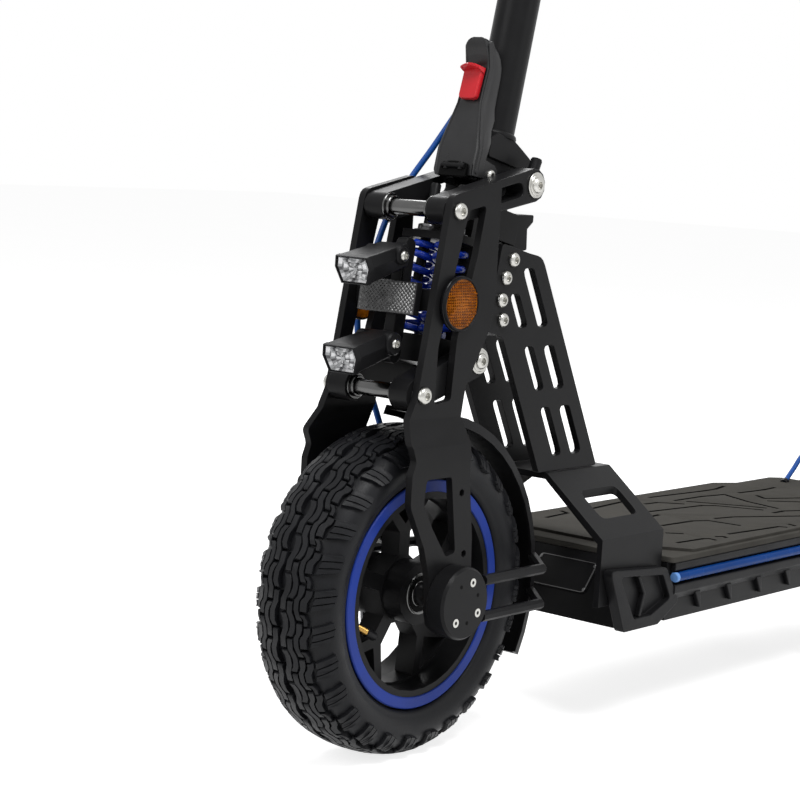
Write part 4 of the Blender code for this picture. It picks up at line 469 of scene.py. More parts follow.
EDGE = 0.0005
EDGES = {
    0.0008: ("neck_plate", "deck_tray", "deck_lid", "stem", "front_mudguard", "rear_mudguard", "rear_axle"),
    0.0009: ("fork_plate", "steering_column", "head_block", "rear_frame"),
    0.001: ("deck_yoke", "corner_cap", "handlebar", "lamp_bracket"),
    0.0012: ("upper_link", "lower_link", "throttle", "kick_stand", "front_rim"),
    0.0014: ("front_caliper", "rear_hub_motor"),
    0.0016: ("brake_lever",),
    0.0022: ("headlight",),
    0.0025: ("display", "tail_light"),
}


def dress_solids():
    slots = {row["node"]: row["material_slot"] for row in frame["record"]["subparts"]}
    for name, obj in frame["nodes"].items():
        obj.material_slots[0].material = NODE_LOOKS.get(name, SLOTS[slots[name]][0])
        obj.data.shade_smooth()
        width = next((width for width, starts in EDGES.items() if name.startswith(starts)), EDGE)
        soften(obj, width, weld=True)


# Camera, light and floor

CAMERA_YAW = radians(50.1)
CAMERA_PITCH = radians(6.9)
CAMERA_ROLL = radians(3.19)
CAMERA_AIM = Vector((0, -0.003, 0))
CAMERA_DISTANCE = 1.6
CAMERA_RIGHT = 0.0076
CAMERA_UP = 0.1431
SENSOR_WIDTH = 36
FOCAL_PIXELS = 2087
IMAGE_PIXELS = 800
CLIP_START = 0.05
# Name, place, size and power of each lamp
STUDIO_LAMPS = (
    ("key", (0.9, 1.3, 2.6), 1.1, 52), ("front", (2.5, -0.4, 1.7), 1.2, 14),
    ("side", (-0.7, 2.4, 1.2), 1.2, 6), ("back", (-1.5, -1.5, 2.3), 1.2, 30),
)
LAMP_AIM = Vector((0.25, 0, 0.35))
WORLD_LIGHT = 0.24
WORLD_SEEN = 1.0
FLOOR_HALF = 12.0
FLOOR_GLOW = 0.78


def background_rays(tree):
    """1 for rays that show the background: seen directly, mirrored or through glass."""
    rays = tree.nodes.new("ShaderNodeLightPath")
    total = rays.outputs["Is Camera Ray"]
    for kind in ("Is Glossy Ray", "Is Transmission Ray"):
        total = add_math(tree, "MAXIMUM", total, rays.outputs[kind])
    return total


def make_camera():
    level = cos(CAMERA_PITCH)
    ahead = Vector((-sin(CAMERA_YAW) * level, -cos(CAMERA_YAW) * level, -sin(CAMERA_PITCH)))
    across = ahead.cross(Vector((0, 0, 1))).normalized()
    above = across.cross(ahead)
    right = across * cos(CAMERA_ROLL) + above * sin(CAMERA_ROLL)
    up = above * cos(CAMERA_ROLL) - across * sin(CAMERA_ROLL)
    spot = FRONT.translation + CAMERA_AIM - ahead * CAMERA_DISTANCE + right * CAMERA_RIGHT + up * CAMERA_UP
    data = bpy.data.cameras.new("camera")
    data.sensor_width = SENSOR_WIDTH
    data.lens = FOCAL_PIXELS / IMAGE_PIXELS * SENSOR_WIDTH
    data.clip_start = CLIP_START
    camera = add_object("camera", data)
    turn = Matrix((right, up, -ahead)).transposed().to_4x4()
    camera.matrix_world = Matrix.Translation(spot) @ turn
    bpy.context.scene.camera = camera
    bpy.context.scene.view_settings.view_transform = "Standard"


def make_light():
    for name, place, size, power in STUDIO_LAMPS:
        lamp = bpy.data.lights.new(name, "AREA")
        lamp.size = size
        lamp.energy = power
        obj = add_object(name, lamp)
        obj.location = place
        obj.rotation_euler = (LAMP_AIM - Vector(place)).to_track_quat("-Z", "Y").to_euler()
    world = bpy.data.worlds.new("studio")
    bpy.context.scene.world = world
    world.use_nodes = True
    tree = world.node_tree
    level = add_node(tree, "MapRange", "Result", {
        "Value": background_rays(tree), "To Min": WORLD_LIGHT, "To Max": WORLD_SEEN})
    feed(tree, tree.nodes["Background"], {"Color": (1, 1, 1, 1), "Strength": level})


def make_floor():
    bm = bmesh.new()
    bm.faces.new([bm.verts.new((x * FLOOR_HALF, y * FLOOR_HALF, 0)) for x, y in SQUARE])
    mesh = bpy.data.meshes.new("floor")
    bm.to_mesh(mesh)
    bm.free()
    floor = add_object("floor", mesh)
    mat = material("pale_floor", (0.8, 0.8, 0.8), 0.9, spread=0.01, bump=0.0, specular=0.0, cloud=3)
    tree = mat.node_tree
    strength = add_math(tree, "MULTIPLY", background_rays(tree), FLOOR_GLOW)
    glow = add_node(tree, "Emission", "Emission", {"Strength": strength})
    shine = tree.nodes["Principled BSDF"].outputs["BSDF"]
    both = add_node(tree, "AddShader", "Shader", {0: shine, 1: glow})
    feed(tree, tree.nodes["Material Output"], {"Surface": both})
    mesh.materials.append(mat)


# Cords and springs

CABLE_RADIUS = 0.0025
CABLE_SIDES = 16
FRONT_CABLE_ROUTE = mm([
    (-81.5, -15, 380), (-76, -23.5, 366), (-65, -39, 335), (-55.5, -52, 310), (-40, -57.5, 285),
    (-26, -60, 250), (-11, -60, 205), (-15, -56, 165), (-29, -50, 125),
])
CALIPER_ANGLE = radians(122)
CALIPER_OUTER = 0.069
CALIPER_Y = -0.0412
REAR_CABLE_ROUTE = mm([
    (244.5, -54, 14.2), (228.1, -54, 26.5), (211.6, -53.5, 40), (183, -49, 57), (145, -46, 62),
    (105, -46, 54), (70, -44.5, 39),
])
BRAKE_PLATE_RADIUS = 0.045
BRAKE_PLATE_Y = -0.0404
CABLE_JOIN = 4
CABLE_STEPS = 6
ADJUSTER_RADIUS = 0.0037
ADJUSTER_PLACES = mm((-9, -7.5, 7.5, 9))
FERRULE = mm([(2.8, -2), (4.2, -2), (4.2, 1), (3.6, 2.4), (2.8, 2.4)])
SPRING_WIRE = 0.0028
SPRING_TURNS = 5.5
TURN_STEPS = 40
END_PITCH = 1.6
GUIDE_ROD = mm([(3.4, 216), (4, 217), (4, 306), (3.2, 307.2)])
GUIDE_NUT = mm([(7.8, 269), (8.2, 269.6), (8.2, 273.8), (7.8, 274.4)])
GUIDE_WASHER = mm((4.2, 10.5, 268.6, 269.7))


def smooth_route(points):
    """Smooth curve through the points."""
    knots = [Vector(point) for point in points]
    route = []
    for index in range(len(knots) - 1):
        before = knots[max(index - 1, 0)]
        start = knots[index]
        end = knots[index + 1]
        after = knots[min(index + 2, len(knots) - 1)]
        for step in range(CABLE_STEPS):
            t = step / CABLE_STEPS
            b = (end - before) * t
            c = (2 * before - 5 * start + 4 * end - after) * t ** 2
            d = (3 * start - before - 3 * end + after) * t ** 3
            route.append((2 * start + b + c + d) / 2)
    return route + [knots[-1]]


def cable(route, name, body, node):
    return put(made(add_tube, route, CABLE_RADIUS, CABLE_SIDES), name, CABLE_BLUE, body, node)


def make_front_cable():
    ends = []
    for lead in (6 * CABLE_RADIUS, 2 * CABLE_RADIUS, 0):
        reach = CALIPER_OUTER + GAP + lead
        ends.append((reach * cos(CALIPER_ANGLE), CALIPER_Y, reach * sin(CALIPER_ANGLE)))
    route = [FRONT @ point for point in smooth_route(FRONT_CABLE_ROUTE + ends)]
    join = CABLE_JOIN * CABLE_STEPS
    upper = route[:join + 1]
    lower = route[join:]

    along = (lower[2] - upper[-3]).normalized()
    barrel = [lower[0] + along * place for place in ADJUSTER_PLACES]
    adjuster = put(made(add_tube, barrel, ADJUSTER_RADIUS, CABLE_SIDES), "cable_adjuster", GLOSS, "steering")

    top = cable(upper, "front_cable_upper", None, "front_brake_cable")
    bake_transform(top)

    tail = cable(lower, "front_cable_lower", "steering", "front_brake_cable")
    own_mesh(tail)


def make_rear_cable():
    x = REAR_CABLE_ROUTE[-1][0]
    z = REAR_CABLE_ROUTE[-1][2]
    reach = hypot(x, z)
    ends = []
    for radius in (BRAKE_PLATE_RADIUS + GAP + 2 * CABLE_RADIUS, BRAKE_PLATE_RADIUS + GAP):
        ends.append((x / reach * radius, BRAKE_PLATE_Y, z / reach * radius))
    route = [REAR @ point for point in smooth_route(REAR_CABLE_ROUTE + ends)]
    rear = cable(route, "rear_cable", "chassis", "rear_brake_cable")
    turn = (route[0] - route[2]).normalized().to_track_quat("-Z", "Y").to_matrix().to_4x4()
    ferrule = made(add_lathe, FERRULE, Matrix.Translation(route[0]) @ turn, 20, True)
    put(ferrule, "rear_cable_ferrule", GLOSS, "chassis")


def coil_points(length, side):
    """Points along a coil whose last half turn at each end lies nearly flat."""
    points = []
    count = int(SPRING_TURNS * TURN_STEPS)
    for step in range(-TURN_STEPS // 2, count + TURN_STEPS // 2 + 1):
        angle = tau * step / TURN_STEPS
        share = min(max(step / count, 0), 1)
        tail = min(step, 0) / TURN_STEPS + max(step - count, 0) / TURN_STEPS
        height = 2 * SPRING_WIRE + (length - 4 * SPRING_WIRE) * share + tail * SPRING_WIRE * END_PITCH
        points.append((SPRING_RADIUS * cos(angle), side * SPRING_RADIUS * sin(angle), height))
    return points


def make_springs():
    length = SPRING_HIGH - SPRING_LOW
    for name, side in SIDES:
        place = STEER @ shift(SPRING_X, side * SPRING_Y, SPRING_LOW)
        coil = put(made(add_tube, coil_points(length, side), SPRING_WIRE, 12, place), "coil_spring_" + name,
                   SPRING_BLUE, "steering", "spring_" + name)
        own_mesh(coil)
        rod = STEER @ shift(SPRING_X, side * SPRING_Y, 0)
        put(made(add_lathe, GUIDE_ROD, rod, 24), "guide_rod_" + name, BLACK, "steering")
        nut = made(add_nut, GUIDE_NUT, rod)
        add_washer(nut, rod, *GUIDE_WASHER)
        put(nut, "guide_nut_" + name, ALLOY, "steering")


# Wheels

CARCASS = mm([
    (0, 122.8), (10, 122.3), (19, 120.7), (26.2, 118), (31.5, 114.1), (34.7, 109.4), (36, 104.5), (35.7, 99),
    (34, 94.6), (32.6, 92.6), (32.5, 91.5), (30.3, 89.6), (25.8, 88), (25.5, 81.2),
])
TYRE_SIDES = 120
TREAD_PITCHES = 28
TREAD_RADIUS = 0.125
TREAD_STEP = 0.0045
SHOULDER_START = 0.024
SHOULDER_RISE = 0.75
# Tread of one side, in millimetres along the tread and outwards from its middle: zig-zag ribs, each by its
# start, length, inner and outer edge, and shoulder lugs
PITCH_LENGTH = 28.0
ZIGZAG = [(0.0, 0.0), (0.32, 0.0), (0.5, 1.0), (0.82, 1.0), (1.0, 0.0)]
ZIGZAG_REACH = 3.2
TREAD_RIBS = [
    (0.0, 27.2, 0.7, 6.0), (9.0, 27.2, 6.9, 11.4), (-6.0, 27.0, 12.3, 16.6), (0.8, 17.2, 17.6, 22.6),
    (18.8, 8.6, 17.6, 20.6),
]
RIB_POINTS = 8
SHOULDER_LUGS = [
    [(1.6, 24.4), (6.2, 25.4), (10.4, 41.0), (7.0, 40.0)],
    [(6.7, 25.5), (12.0, 26.4), (16.2, 42.2), (10.9, 41.2)],
    [(12.5, 26.5), (17.8, 26.6), (21.8, 40.8), (16.7, 42.2)],
]
BLOCK_RINGS = ((-0.001, 1.0), (0.0032, 0.97), (0.0041, 0.9))


def zigzag(along):
    phase = along / PITCH_LENGTH % 1
    for (start, low), (end, high) in zip(ZIGZAG, ZIGZAG[1:]):
        if phase <= end:
            return ZIGZAG_REACH * (low + (high - low) * (phase - start) / (end - start))
    return 0.0


def tread_blocks():
    """Outlines of the blocks of one side and pitch, in metres."""
    blocks = list(SHOULDER_LUGS)
    for start, length, inner, outer in TREAD_RIBS:
        places = [start + length * step / (RIB_POINTS - 1) for step in range(RIB_POINTS)]
        blocks.append([(x, inner + zigzag(x)) for x in places]
                      + [(x, outer + zigzag(x)) for x in reversed(places)])
    return [densify(mm(block), TREAD_STEP) for block in blocks]


def carcass_at(across):
    """Place and outward direction on the tyre's section, that far from its middle."""
    left = abs(across)
    for index in range(len(CARCASS) - 1):
        start = Vector(CARCASS[index])
        run = Vector(CARCASS[index + 1]) - start
        if left <= run.length or index == len(CARCASS) - 2:
            point = start + run * min(left / run.length, 1)
            out = Vector((-run.y, run.x)).normalized()
            break
        left -= run.length
    side = 1 if across >= 0 else -1
    return Vector((side * point.x, point.y)), Vector((side * out.x, out.y))


def tread_point(along, across, rise, start, side):
    """Point over the tyre's carcass, from the start of a pitch."""
    angle = start + side * along / TREAD_RADIUS
    at, out = carcass_at(side * across)
    at = at + out * (rise * (1 if abs(across) < SHOULDER_START else SHOULDER_RISE))
    return at.y * cos(angle), at.x, at.y * sin(angle)


def tyre_mesh():
    half = [(radius, y) for y, radius in CARCASS]
    section = list(reversed(half)) + [(radius, -y) for radius, y in half[1:]]
    bm = made(add_lathe, section, ALONG_Y, TYRE_SIDES, True)
    blocks = tread_blocks()
    for pitch in range(TREAD_PITCHES):
        for side in BOTH:
            start = tau * (pitch + (0 if side > 0 else 0.5)) / TREAD_PITCHES
            for outline in blocks:
                middle = sum(outline, Vector((0, 0))) / len(outline)
                rings = []
                for rise, scale in BLOCK_RINGS:
                    ring = [middle + (point - middle) * scale for point in outline]
                    rings.append([tread_point(*point, rise, start, side) for point in ring])
                add_loft(bm, rings)
    return bm


def make_tyres():
    front = put(tyre_mesh(), "treaded_front_tyre", RUBBER, None, sharp=50)
    rear = add_object("treaded_rear_tyre", front.data)
    for obj, place, body, node in ((front, FRONT, "front_wheel", "front_tyre"),
                                   (rear, REAR, "rear_wheel", "rear_tyre")):
        obj.matrix_world = place
        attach(obj, body)
        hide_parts(node)


# Profiles of the wheels' trim, as (radius, height) out of the side face
RIM_RING = mm([
    (78.8, 30), (78.8, 30.6), (79.4, 31.2), (86.8, 31.2), (87.7, 30.4), (87.7, 29), (87.2, 29), (87.2, 30),
])
HUB_FACE = 0.027
BEARING_RINGS = mm(((13.8, 16.2, -0.5, 0.9), (7.5, 9.8, -0.5, 0.7)))
BEARING_SEAL = mm((9.8, 13.8, -0.4, 0.4))
VALVE_START = Vector((0.0735, 0.014, -0.012))
VALVE_END = Vector((0.04, 0.014, -0.0285))
VALVE_FOOT = mm([(4.2, 0), (4.2, 4), (3, 5)])
THREAD = mm(((3, 0), (2.6, 0.5), (3, 1)))
THREAD_START = 0.006
THREAD_PITCH = 0.0012
THREAD_SPARE = 0.004
VALVE_TIP = mm(((2.7, -2), (2.2, 0)))
VALVE_CAP = mm(((3, -7), (3.6, -6.5), (3.6, 4), (2.8, 5.5)))
HUB_CAP = mm([(26.8, 55.3), (27.5, 56), (27.5, 69.2), (25.8, 71.2), (12, 71.3)])
CAP_SCREW_ANGLES = (245, 150, 50)
CAP_SCREW_CIRCLE = 0.017
CAP_SCREW_HEIGHT = 0.071
CAP_HOLE_ANGLE = radians(50)
CAP_HOLE_CIRCLE = 0.015
CAP_HOLE_HEIGHT = 0.0705
CAP_HOLE = mm([(1.5, 0), (1.5, 0.9)])
MOTOR_RING = mm((47.5, 60, 33.5, 35.2))
MOTOR_BOLTS = 8
MOTOR_BOLT_CIRCLE = 0.054
MOTOR_BOLT_HEIGHT = 0.035
AXLE_NUT = mm([(12.4, 58), (13, 58.6), (13, 67.6), (11.8, 68.5)])


def make_valve():
    reach = (VALVE_END - VALVE_START).length
    turn = (VALVE_END - VALVE_START).to_track_quat("Z", "Y").to_matrix().to_4x4()
    place = FRONT @ Matrix.Translation(VALVE_START) @ turn
    profile = list(VALVE_FOOT)
    thread = THREAD_START
    while thread < reach - THREAD_SPARE:
        profile += [(radius, thread + height) for radius, height in THREAD]
        thread += THREAD_PITCH
    profile += [(radius, reach + height) for radius, height in VALVE_TIP]
    put(made(add_lathe, profile, place, 20), "front_valve", BRASS, "front_wheel")
    profile = [(radius, reach + height) for radius, height in VALVE_CAP]
    put(made(add_lathe, profile, place, 12), "front_valve_cap", PLASTIC, "front_wheel")


def make_wheel_trim():
    for base, name in ((FRONT, "front"), (REAR, "rear")):
        bm = bmesh.new()
        for side in BOTH:
            add_lathe(bm, RIM_RING, out_of(base, 0, 0, 0, side), 120, True)
        put(bm, name + "_rim_ring", RING_BLUE, name + "_wheel")
    place = out_of(FRONT, 0, HUB_FACE, 0, 1)
    bm = bmesh.new()
    for ring in BEARING_RINGS:
        add_washer(bm, place, *ring)
    put(bm, "front_bearing_rings", CHROME, "front_wheel")
    put(made(add_washer, place, *BEARING_SEAL), "front_bearing_seal", SHADE_AND_SEAL_BLACK, "front_wheel")
    make_valve()

    screws = bmesh.new()
    holes = bmesh.new()
    for name, side in SIDES:
        place = out_of(FRONT, 0, 0, 0, side)
        cover = made(add_lathe, HUB_CAP, place, 72)
        put(cover, "hub_cap_" + name, BLACK, "fork", "hub_cover_" + name, sharp=25)
        for turn in CAP_SCREW_ANGLES:
            angle = radians(turn)
            add_bolt(screws, place @ around(CAP_SCREW_CIRCLE, angle, CAP_SCREW_HEIGHT), "cap", FLAT_HEAD)
            spot = around(CAP_HOLE_CIRCLE, angle + CAP_HOLE_ANGLE, CAP_HOLE_HEIGHT)
            add_lathe(holes, CAP_HOLE, place @ spot, 12)
    put(screws, "hub_cap_screws", STAINLESS, "fork")
    # Near-black discs set into the caps: painted shade inside the holes
    put(holes, "hub_cap_hole_shade", SHADE_AND_SEAL_BLACK, "fork")

    bolts = bmesh.new()
    nuts = bmesh.new()
    for side in BOTH:
        place = out_of(REAR, 0, 0, 0, side)
        add_washer(bolts, place, *MOTOR_RING)
        for step in range(MOTOR_BOLTS):
            spot = around(MOTOR_BOLT_CIRCLE, tau * step / MOTOR_BOLTS, MOTOR_BOLT_HEIGHT)
            add_bolt(bolts, place @ spot, "motor")
        add_nut(nuts, AXLE_NUT, place)
    put(bolts, "motor_cover_bolts", ALLOY, "rear_wheel")
    put(nuts, "rear_axle_nuts", STAINLESS, "chassis")


# Shafts, bolts and brackets of the front end

SHAFTS = (
    ("fork_upper_shaft", "upper_shaft", UPPER_FRONT, FORK_OUTER, "fork"),
    ("fork_lower_shaft", "lower_shaft", LOWER_FRONT, FORK_OUTER, "fork"),
    ("fold_shaft", "fold_pin", UPPER_REAR, ARM_OUTER, "steering"),
    ("lower_rear_shaft", "lower_link_pin", LOWER_REAR, ARM_OUTER, "steering"),
)
SHAFT_CHAMFER = 0.0004
SHAFT_CHAMFER_LENGTH = 0.0006
FORK_BOLT_LIFT = 0.0004
LINK_BOLT_LIFT = 0.001
LINK_WASHERS = mm(((6.2, 10, 0.3, 1.6), (5.8, 8.2, 1, 2.4)))
COLLARS = mm(((10.2, 0.2, 1.4), (8.2, 1.2, 4.2)))
NECK_BOLTS = mm(((-90.5, 252.5), (-82, 238.5), (-78.4, 221.5), (-81, 206)))
STOP_CHEEK = mm([
    (-97.5, 286.8), (-133.8, 286.8), (-133.5, 281.2), (-126.2, 275.5), (-127, 259), (-103, 256), (-98, 260),
    (-106, 266), (-108, 276), (-101, 280.5),
])
STOP_CHEEK_CORNER = 0.0016
STOP_INNER = 0.0065
STOP_OUTER = 0.0125
STOP_WEBS = mm((
    [(-97.5, 286.8), (-133.8, 286.8), (-133.8, 283.8), (-97.5, 283.8)],
    [(-122.8, 283.8), (-125, 283.8), (-127, 259), (-124, 259)],
))
GUSSET = mm([
    (21.5, 334.5), (21.5, 350), (15, 354.5), (-6, 354.5), (-19, 350), (-31, 345.5), (-35.5, 340.5),
    (-34, 334.5),
])
GUSSET_CORNER = 0.003
GUSSET_HALF = 0.0173
WELD_BEAD = mm([(16.6, 353.5), (18.6, 353.8), (19, 355.2), (18.4, 357.2), (17.2, 358.2), (16.6, 358.2)])
PEG_LINE = mm(((-103.5, 319), (-106.5, 324.5), (-109, 330), (-109.4, 331)))
PEG_RADIUS = 0.0046
PEG_TIP_RADIUS = 0.0041
PEG_Y = 0.03


def make_shafts():
    for name, node, (x, z), reach, body in SHAFTS:
        tip = SHAFT_RADIUS - SHAFT_CHAMFER
        profile = [(tip, -reach), (SHAFT_RADIUS, SHAFT_CHAMFER_LENGTH - reach),
                   (SHAFT_RADIUS, reach - SHAFT_CHAMFER_LENGTH), (tip, reach)]
        bm = made(add_lathe, profile, FRONT @ shift(x, 0, z) @ ALONG_Y, 40)
        for side in BOTH:
            head = out_of(FRONT, x, reach, z, side)
            if body == "fork":
                add_bolt(bm, head @ shift(0, 0, FORK_BOLT_LIFT), "fork")
            else:
                for washer in LINK_WASHERS:
                    add_washer(bm, head, *washer)
                add_bolt(bm, head @ shift(0, 0, LINK_BOLT_LIFT), "link")
        shaft = put(bm, name, CHROME, body, node)
        shaft.data.materials.append(STAINLESS)
        for polygon in shaft.data.polygons:
            polygon.material_index = int(abs(polygon.center.y) > ARM_OUTER)
    collars = bmesh.new()
    bolts = bmesh.new()
    for side in BOTH:
        for x, z in (UPPER_FRONT, LOWER_FRONT):
            place = out_of(FRONT, x, 0, z, -side) @ shift(0, 0, -ARM_INNER)
            for collar in COLLARS:
                add_washer(collars, place, SHAFT_RADIUS, *collar)
        for x, z in NECK_BOLTS:
            add_bolt(bolts, out_of(FRONT, x, NECK_OUTER + BOLT_GAP, z, side), "neck")
    put(collars, "shaft_collars", CHROME, "fork")
    put(bolts, "neck_bolts", STAINLESS, "chassis")


def make_brackets():
    bm = bmesh.new()
    cheek = rounded([(x, z, STOP_CHEEK_CORNER) for x, z in STOP_CHEEK], 3)
    for low, high in ((-STOP_OUTER, -STOP_INNER), (STOP_INNER, STOP_OUTER)):
        add_slab(bm, cheek, low, high, FRONT)
    for web in STOP_WEBS:
        add_slab(bm, web, -STOP_INNER, STOP_INNER, FRONT)
    put(bm, "head_stop_bracket", BLACK, "chassis", bevel=0.0005)

    gusset = rounded([(x, z, GUSSET_CORNER) for x, z in GUSSET], 3)
    put(made(add_slab, gusset, -GUSSET_HALF, GUSSET_HALF, STEER), "stem_gusset", BLACK, "stem", bevel=0.0014)
    put(made(add_lathe, WELD_BEAD, STEER, 64, True), "stem_weld_bead", BLACK, "stem", sharp=60)

    bm = bmesh.new()
    for side in BOTH:
        peg = [FRONT @ Vector((x, side * PEG_Y, z)) for x, z in PEG_LINE]
        add_tube(bm, peg[:3], PEG_RADIUS, 16)
        add_tube(bm, peg[2:], PEG_TIP_RADIUS, 16)
    put(bm, "link_end_pegs", PLASTIC, "upper_link")


# Lamps and reflectors

LAMP_FACE = mm([(-15.2, 10.5), (15.2, 10.5), (17.2, 2), (12.5, -10.5), (-12.5, -10.5), (-17.2, 2)])
LAMP_HALF_HEIGHT = 0.0105
LAMP_BACK_SHARE = 0.86
BRACKET_TOP = (0.0075, 0.262)
BRACKET_FOOT = (0.0185, 0.18)
BRACKET_THICKNESS = 0.0062
LAMP_SLOPE = (BRACKET_FOOT[0] - BRACKET_TOP[0]) / (BRACKET_TOP[1] - BRACKET_FOOT[1])
LAMP_TILT = radians(14)
LAMP_LENGTH = 0.045
FACE_STEP = 0.0042
# Name, height, and the place and radius of its bosses
HEADLIGHTS = (("upper", 0.2565, 0.0295, 0.007), ("lower", 0.1915, 0.034, 0.0086))
LENS_RINGS = ((0.9, 0.0002), (0.9, 0.003), (0.84, 0.0036), (0.7, 0.002), (0.56, 0.003), (0.42, 0.0016),
              (0.28, 0.0027), (0.12, 0.0012))
LAMP_RIM = ((0.905, -0.0004), (0.905, 0.004), (0.93, 0.0048), (0.985, 0.0044), (1.005, 0.003),
            (1.005, -0.0004))
BOSS = ((1, -0.004), (1, 0.0022), (0.88, 0.0034), (0.6, 0.0036))
BOSS_Y = 0.014
BOSS_DROP = 0.0012
BOSS_RISE = 0.0034
HOLDER_SPAN = (-0.0038, 0.0024)
PRISM_SPAN = (0.0023, 0.0029)
REFLECTOR_SHARE = 0.985
REFLECTOR_RIM = 0.0004
REFLECTOR_COLUMNS = 15
REFLECTOR_ROWS = 7
PRISM_FOOT = 0.0025
PRISM_TIP = 0.0039
# Round reflectors on the fork's sides
HOLDER_PROFILE = mm([(20.3, 0), (20.8, 0.6), (20.8, 2.6), (20.3, 3.1), (19, 3.1), (19, 0)])
RIM_PROFILE = mm([(19, 2.8), (20.4, 2.8), (20.4, 4.4), (19.9, 5.2), (18.9, 5.2), (18.4, 4.4)])
BASE_PROFILE = mm([(19.1, 0.2), (19.1, 4), (5, 4.6)])
CELL = 0.0021
CELLS = 18
CELL_REACH = 0.0176
CELL_FOOT = 0.0042
CELL_TIP = 0.0054
CELL_LEAN = 0.3
SECTOR = 60


def lamp_frame(height):
    x = BRACKET_TOP[0] + (BRACKET_TOP[1] - height) * LAMP_SLOPE + BRACKET_THICKNESS
    start = 2 * GAP + LAMP_HALF_HEIGHT * LAMP_BACK_SHARE * (tan(LAMP_TILT) + LAMP_SLOPE)
    return FRONT @ shift(x, 0, height) @ spin(LAMP_TILT, "Y") @ shift(start + LAMP_LENGTH, 0, 0)


def lamp_rings(steps):
    outline = densify(LAMP_FACE, FACE_STEP)
    return [[(x, y * scale, z * scale) for y, z in outline] for scale, x in steps]


def make_headlights():
    bolts = bmesh.new()
    for name, height, reach, girth in HEADLIGHTS:
        place = lamp_frame(height)
        lens = made(add_loft, lamp_rings(LENS_RINGS), False, place)
        glass = put(lens, "lamp_glass_" + name, LAMP_LENS, "fork", "headlight_" + name + "_lens", sharp=4)
        # Facets in three tones of one lens: painted highlight and painted shade
        facet(glass, (LENS_PAINTED_HIGHLIGHT, LENS_PAINTED_SHADE), (0, 1, 0, 2, 0, 1, 1, 0, 2, 1, 0))
        rim = made(add_loft, lamp_rings(LAMP_RIM), True, place)
        put(rim, "lamp_rim_" + name, PLASTIC, "fork", sharp=35)
        hood = bmesh.new()
        for side in BOTH:
            boss = out_of(FRONT, reach, BOSS_Y, height - BOSS_DROP, side)
            add_lathe(hood, [(girth * share, rise) for share, rise in BOSS], boss, 40)
            add_bolt(bolts, boss @ shift(0, 0, BOSS_RISE), "lamp")
        put(hood, "lamp_bosses_" + name, PLASTIC, "fork", sharp=30)
    put(bolts, "lamp_bolts", STAINLESS, "fork")


def make_front_reflector():
    low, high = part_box("front_reflector")
    place = Matrix.Translation((low + high) / 2) @ spin(-atan(LAMP_SLOPE), "Y")
    half_y = (high.y - low.y) / 2
    half_z = (high.z - low.z) / 2 * REFLECTOR_SHARE
    back, front = HOLDER_SPAN
    holder = made(add_box, (back, -half_y, -half_z), (front, half_y, half_z), place)
    put(holder, "front_reflector_holder", PLASTIC, "fork", bevel=0.0004)
    back, front = PRISM_SPAN
    plate = made(add_box, (back, GAP - half_y, GAP - half_z), (front, half_y - GAP, half_z - GAP), place)
    put(plate, "front_reflector_plate", PRISM_GREY, "fork", bevel=0.0002)
    bm = bmesh.new()
    wide = (half_y - REFLECTOR_RIM) / REFLECTOR_COLUMNS
    tall = (half_z - REFLECTOR_RIM) / REFLECTOR_ROWS
    for column in range(1, 2 * REFLECTOR_COLUMNS):
        for row in range(1, 2 * REFLECTOR_ROWS):
            if (column + row) % 2:
                continue
            y = REFLECTOR_RIM - half_y + wide * column
            z = REFLECTOR_RIM - half_z + tall * row
            corners = [place @ Vector((PRISM_FOOT, y + a * wide, z + b * tall))
                       for a, b in ((-1, 0), (0, -1), (1, 0), (0, 1))]
            add_pyramid(bm, corners, place @ Vector((PRISM_TIP, y, z)))
    sheet = put(bm, "front_reflector_prisms", WHITE_LENS, "fork", "front_reflector", sharp=4)
    # Some facets darker: painted shadow on the prisms
    facet(sheet, (PRISM_PAINTED_SHADOW,), (1, 0, 0, 1, 1))


def add_cells(bm, place):
    """Round sheet of small pyramids that lean another way in each sector."""
    for row in range(CELLS):
        for column in range(CELLS):
            x = (column - (CELLS - 1) / 2) * CELL
            y = (row - (CELLS - 1) / 2) * CELL
            if Vector((x, y)).length > CELL_REACH:
                continue
            sector = int((degrees(atan2(y, x)) + 360 + SECTOR / 2) // SECTOR)
            turn = radians(SECTOR * sector)
            lean = Vector((cos(turn), sin(turn))) * CELL * CELL_LEAN
            corners = [place @ Vector((x + a * CELL / 2, y + b * CELL / 2, CELL_FOOT)) for a, b in SQUARE]
            add_pyramid(bm, corners, place @ Vector((x + lean.x, y + lean.y, CELL_TIP)))


def make_side_reflectors():
    for name, side in SIDES:
        low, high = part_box("side_reflector_" + name)
        middle = (low + high) / 2 - FRONT.translation
        place = out_of(FRONT, middle.x, FORK_OUTER + GAP, middle.z, side)
        put(made(add_lathe, HOLDER_PROFILE, place, 72, True), "reflector_holder_" + name, GLOSS, "fork")
        put(made(add_lathe, RIM_PROFILE, place, 72, True), "reflector_rim_" + name, PLASTIC, "fork")
        put(made(add_lathe, BASE_PROFILE, place, 60), "reflector_base_" + name, AMBER, "fork")
        cells = made(add_cells, place)
        sheet = put(cells, "reflector_prisms_" + name, AMBER, "fork", "side_reflector_" + name, sharp=4)
        # Facets in darker and lighter amber: painted shade and painted highlight
        facet(sheet, (AMBER_PAINTED_SHADE, AMBER_PAINTED_HIGHLIGHT), (0, 1, 0, 2, 1))


# Latch on the stem

LATCH_FACE = mm(((37.2, 345), (33.5, 400)))
